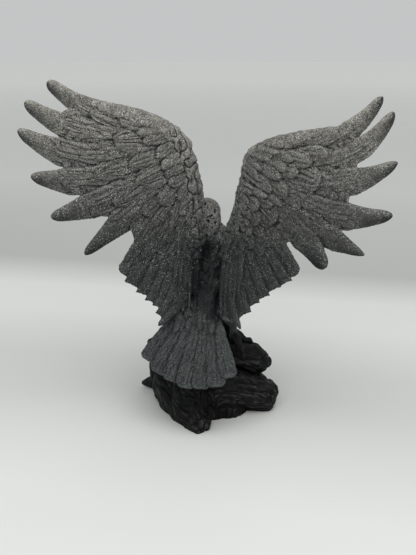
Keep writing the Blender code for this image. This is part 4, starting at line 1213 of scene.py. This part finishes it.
reach = add("ShaderNodeVectorMath", {0: place}, operation="LENGTH").outputs["Value"]
cloudy = clouds(add, place, 9.0, 3.0)
away = add("ShaderNodeSeparateXYZ", {0: place}).outputs[1]
ramp = add("ShaderNodeValToRGB", {0: scaled_to(add, away, -0.3, 1.2)})
ramp.color_ramp.elements.remove(ramp.color_ramp.elements[1])
ramp.color_ramp.elements[0].color = (FLOOR_TONES[0][1],) * 3 + (1,)
for at, value in FLOOR_TONES[1:]:
    ramp.color_ramp.elements.new((at + 0.3) / 1.5).color = (value, value, value, 1)
tone = mixed(add, 1.0, ramp.outputs[0], (0.985, 1.01, 0.995, 1), "MULTIPLY")
tone = mixed(add, scaled_to(add, reach, 1.0, 5.0), tone, (0.98, 1.0, 0.99, 1))
tone = mixed(add, scaled_to(add, cloudy, 0.3, 0.7, 0.0, 0.05), tone, (0.6, 0.6, 0.6, 1))
white_board.node_tree.links.new(tone, shader.inputs["Base Color"])
shader.inputs["Roughness"].default_value = 0.85
floor.data.materials.append(white_board)


def soft_light(name, place, aim, size, watts, colour):
    """A large soft lamp."""
    lamp = bpy.data.lights.new(name, "AREA")
    lamp.shape = "RECTANGLE"
    lamp.size, lamp.size_y = size
    lamp.energy = watts
    lamp.color = colour
    holder = bpy.data.objects.new(name, lamp)
    holder.location = place
    holder.rotation_euler = (Vector(place) - Vector(aim)).to_track_quat("Z", "Y").to_euler()
    bpy.context.scene.collection.objects.link(holder)


for name, watts, way in (("white_room", 0.82, (0.25, -0.45, 1.0)), ("far_wall", 0.4, (0.15, 1.0, 0.65))):
    room = bpy.data.lights.new(name, "SUN")
    room.energy, room.angle, room.color = watts, math.radians(55), (1.0, 0.99, 0.965)
    holder = bpy.data.objects.new(name, room)
    holder.rotation_euler = Vector(way).to_track_quat("Z", "Y").to_euler()
    bpy.context.scene.collection.objects.link(holder)
soft_light("tent_top", (0.1, -0.95, 1.25), (0, 0, 0.15), (1.3, 1.3), 16.0, (1.0, 0.985, 0.95))
soft_light("tent_left", (-1.4, -0.5, 0.7), (0, 0, 0.15), (1.0, 1.2), 2.5, (0.95, 0.98, 1.0))
soft_light("tent_right", (1.4, -0.5, 0.7), (0, 0, 0.15), (1.0, 1.2), 2.5, (0.95, 0.98, 1.0))
world = bpy.data.worlds.new("tent")
bpy.context.scene.world = world
world.use_nodes = True
world.node_tree.nodes["Background"].inputs[0].default_value = (0.55, 0.565, 0.565, 1)
add = adder(world.node_tree)
seen = add("ShaderNodeLightPath").outputs["Is Camera Ray"]
seen = scaled_to(add, seen, 0.0, 1.0, 0.5, 1.0)
world.node_tree.links.new(seen, world.node_tree.nodes["Background"].inputs[1])
bpy.context.scene.view_settings.view_transform = "Standard"

# The camera, behind the bird and a little to its right, looking down at it.
AZIMUTH, ELEVATION, DISTANCE = math.radians(12), math.radians(17), 0.83
AIM = Vector((-0.0105, 0.0, 0.137))
SENSOR, FOCUS_PIXELS, PIXELS_HIGH = 36, 834, 555
level = math.cos(ELEVATION)
back = Vector((math.sin(AZIMUTH) * level, -math.cos(AZIMUTH) * level, math.sin(ELEVATION)))
lens = bpy.data.cameras.new("camera")
lens.lens = SENSOR * FOCUS_PIXELS / PIXELS_HIGH
lens.clip_start = 0.01
camera = bpy.data.objects.new("camera", lens)
camera.location = AIM + back * DISTANCE
camera.rotation_euler = back.to_track_quat("Z", "Y").to_euler()
bpy.context.scene.collection.objects.link(camera)
bpy.context.scene.camera = camera
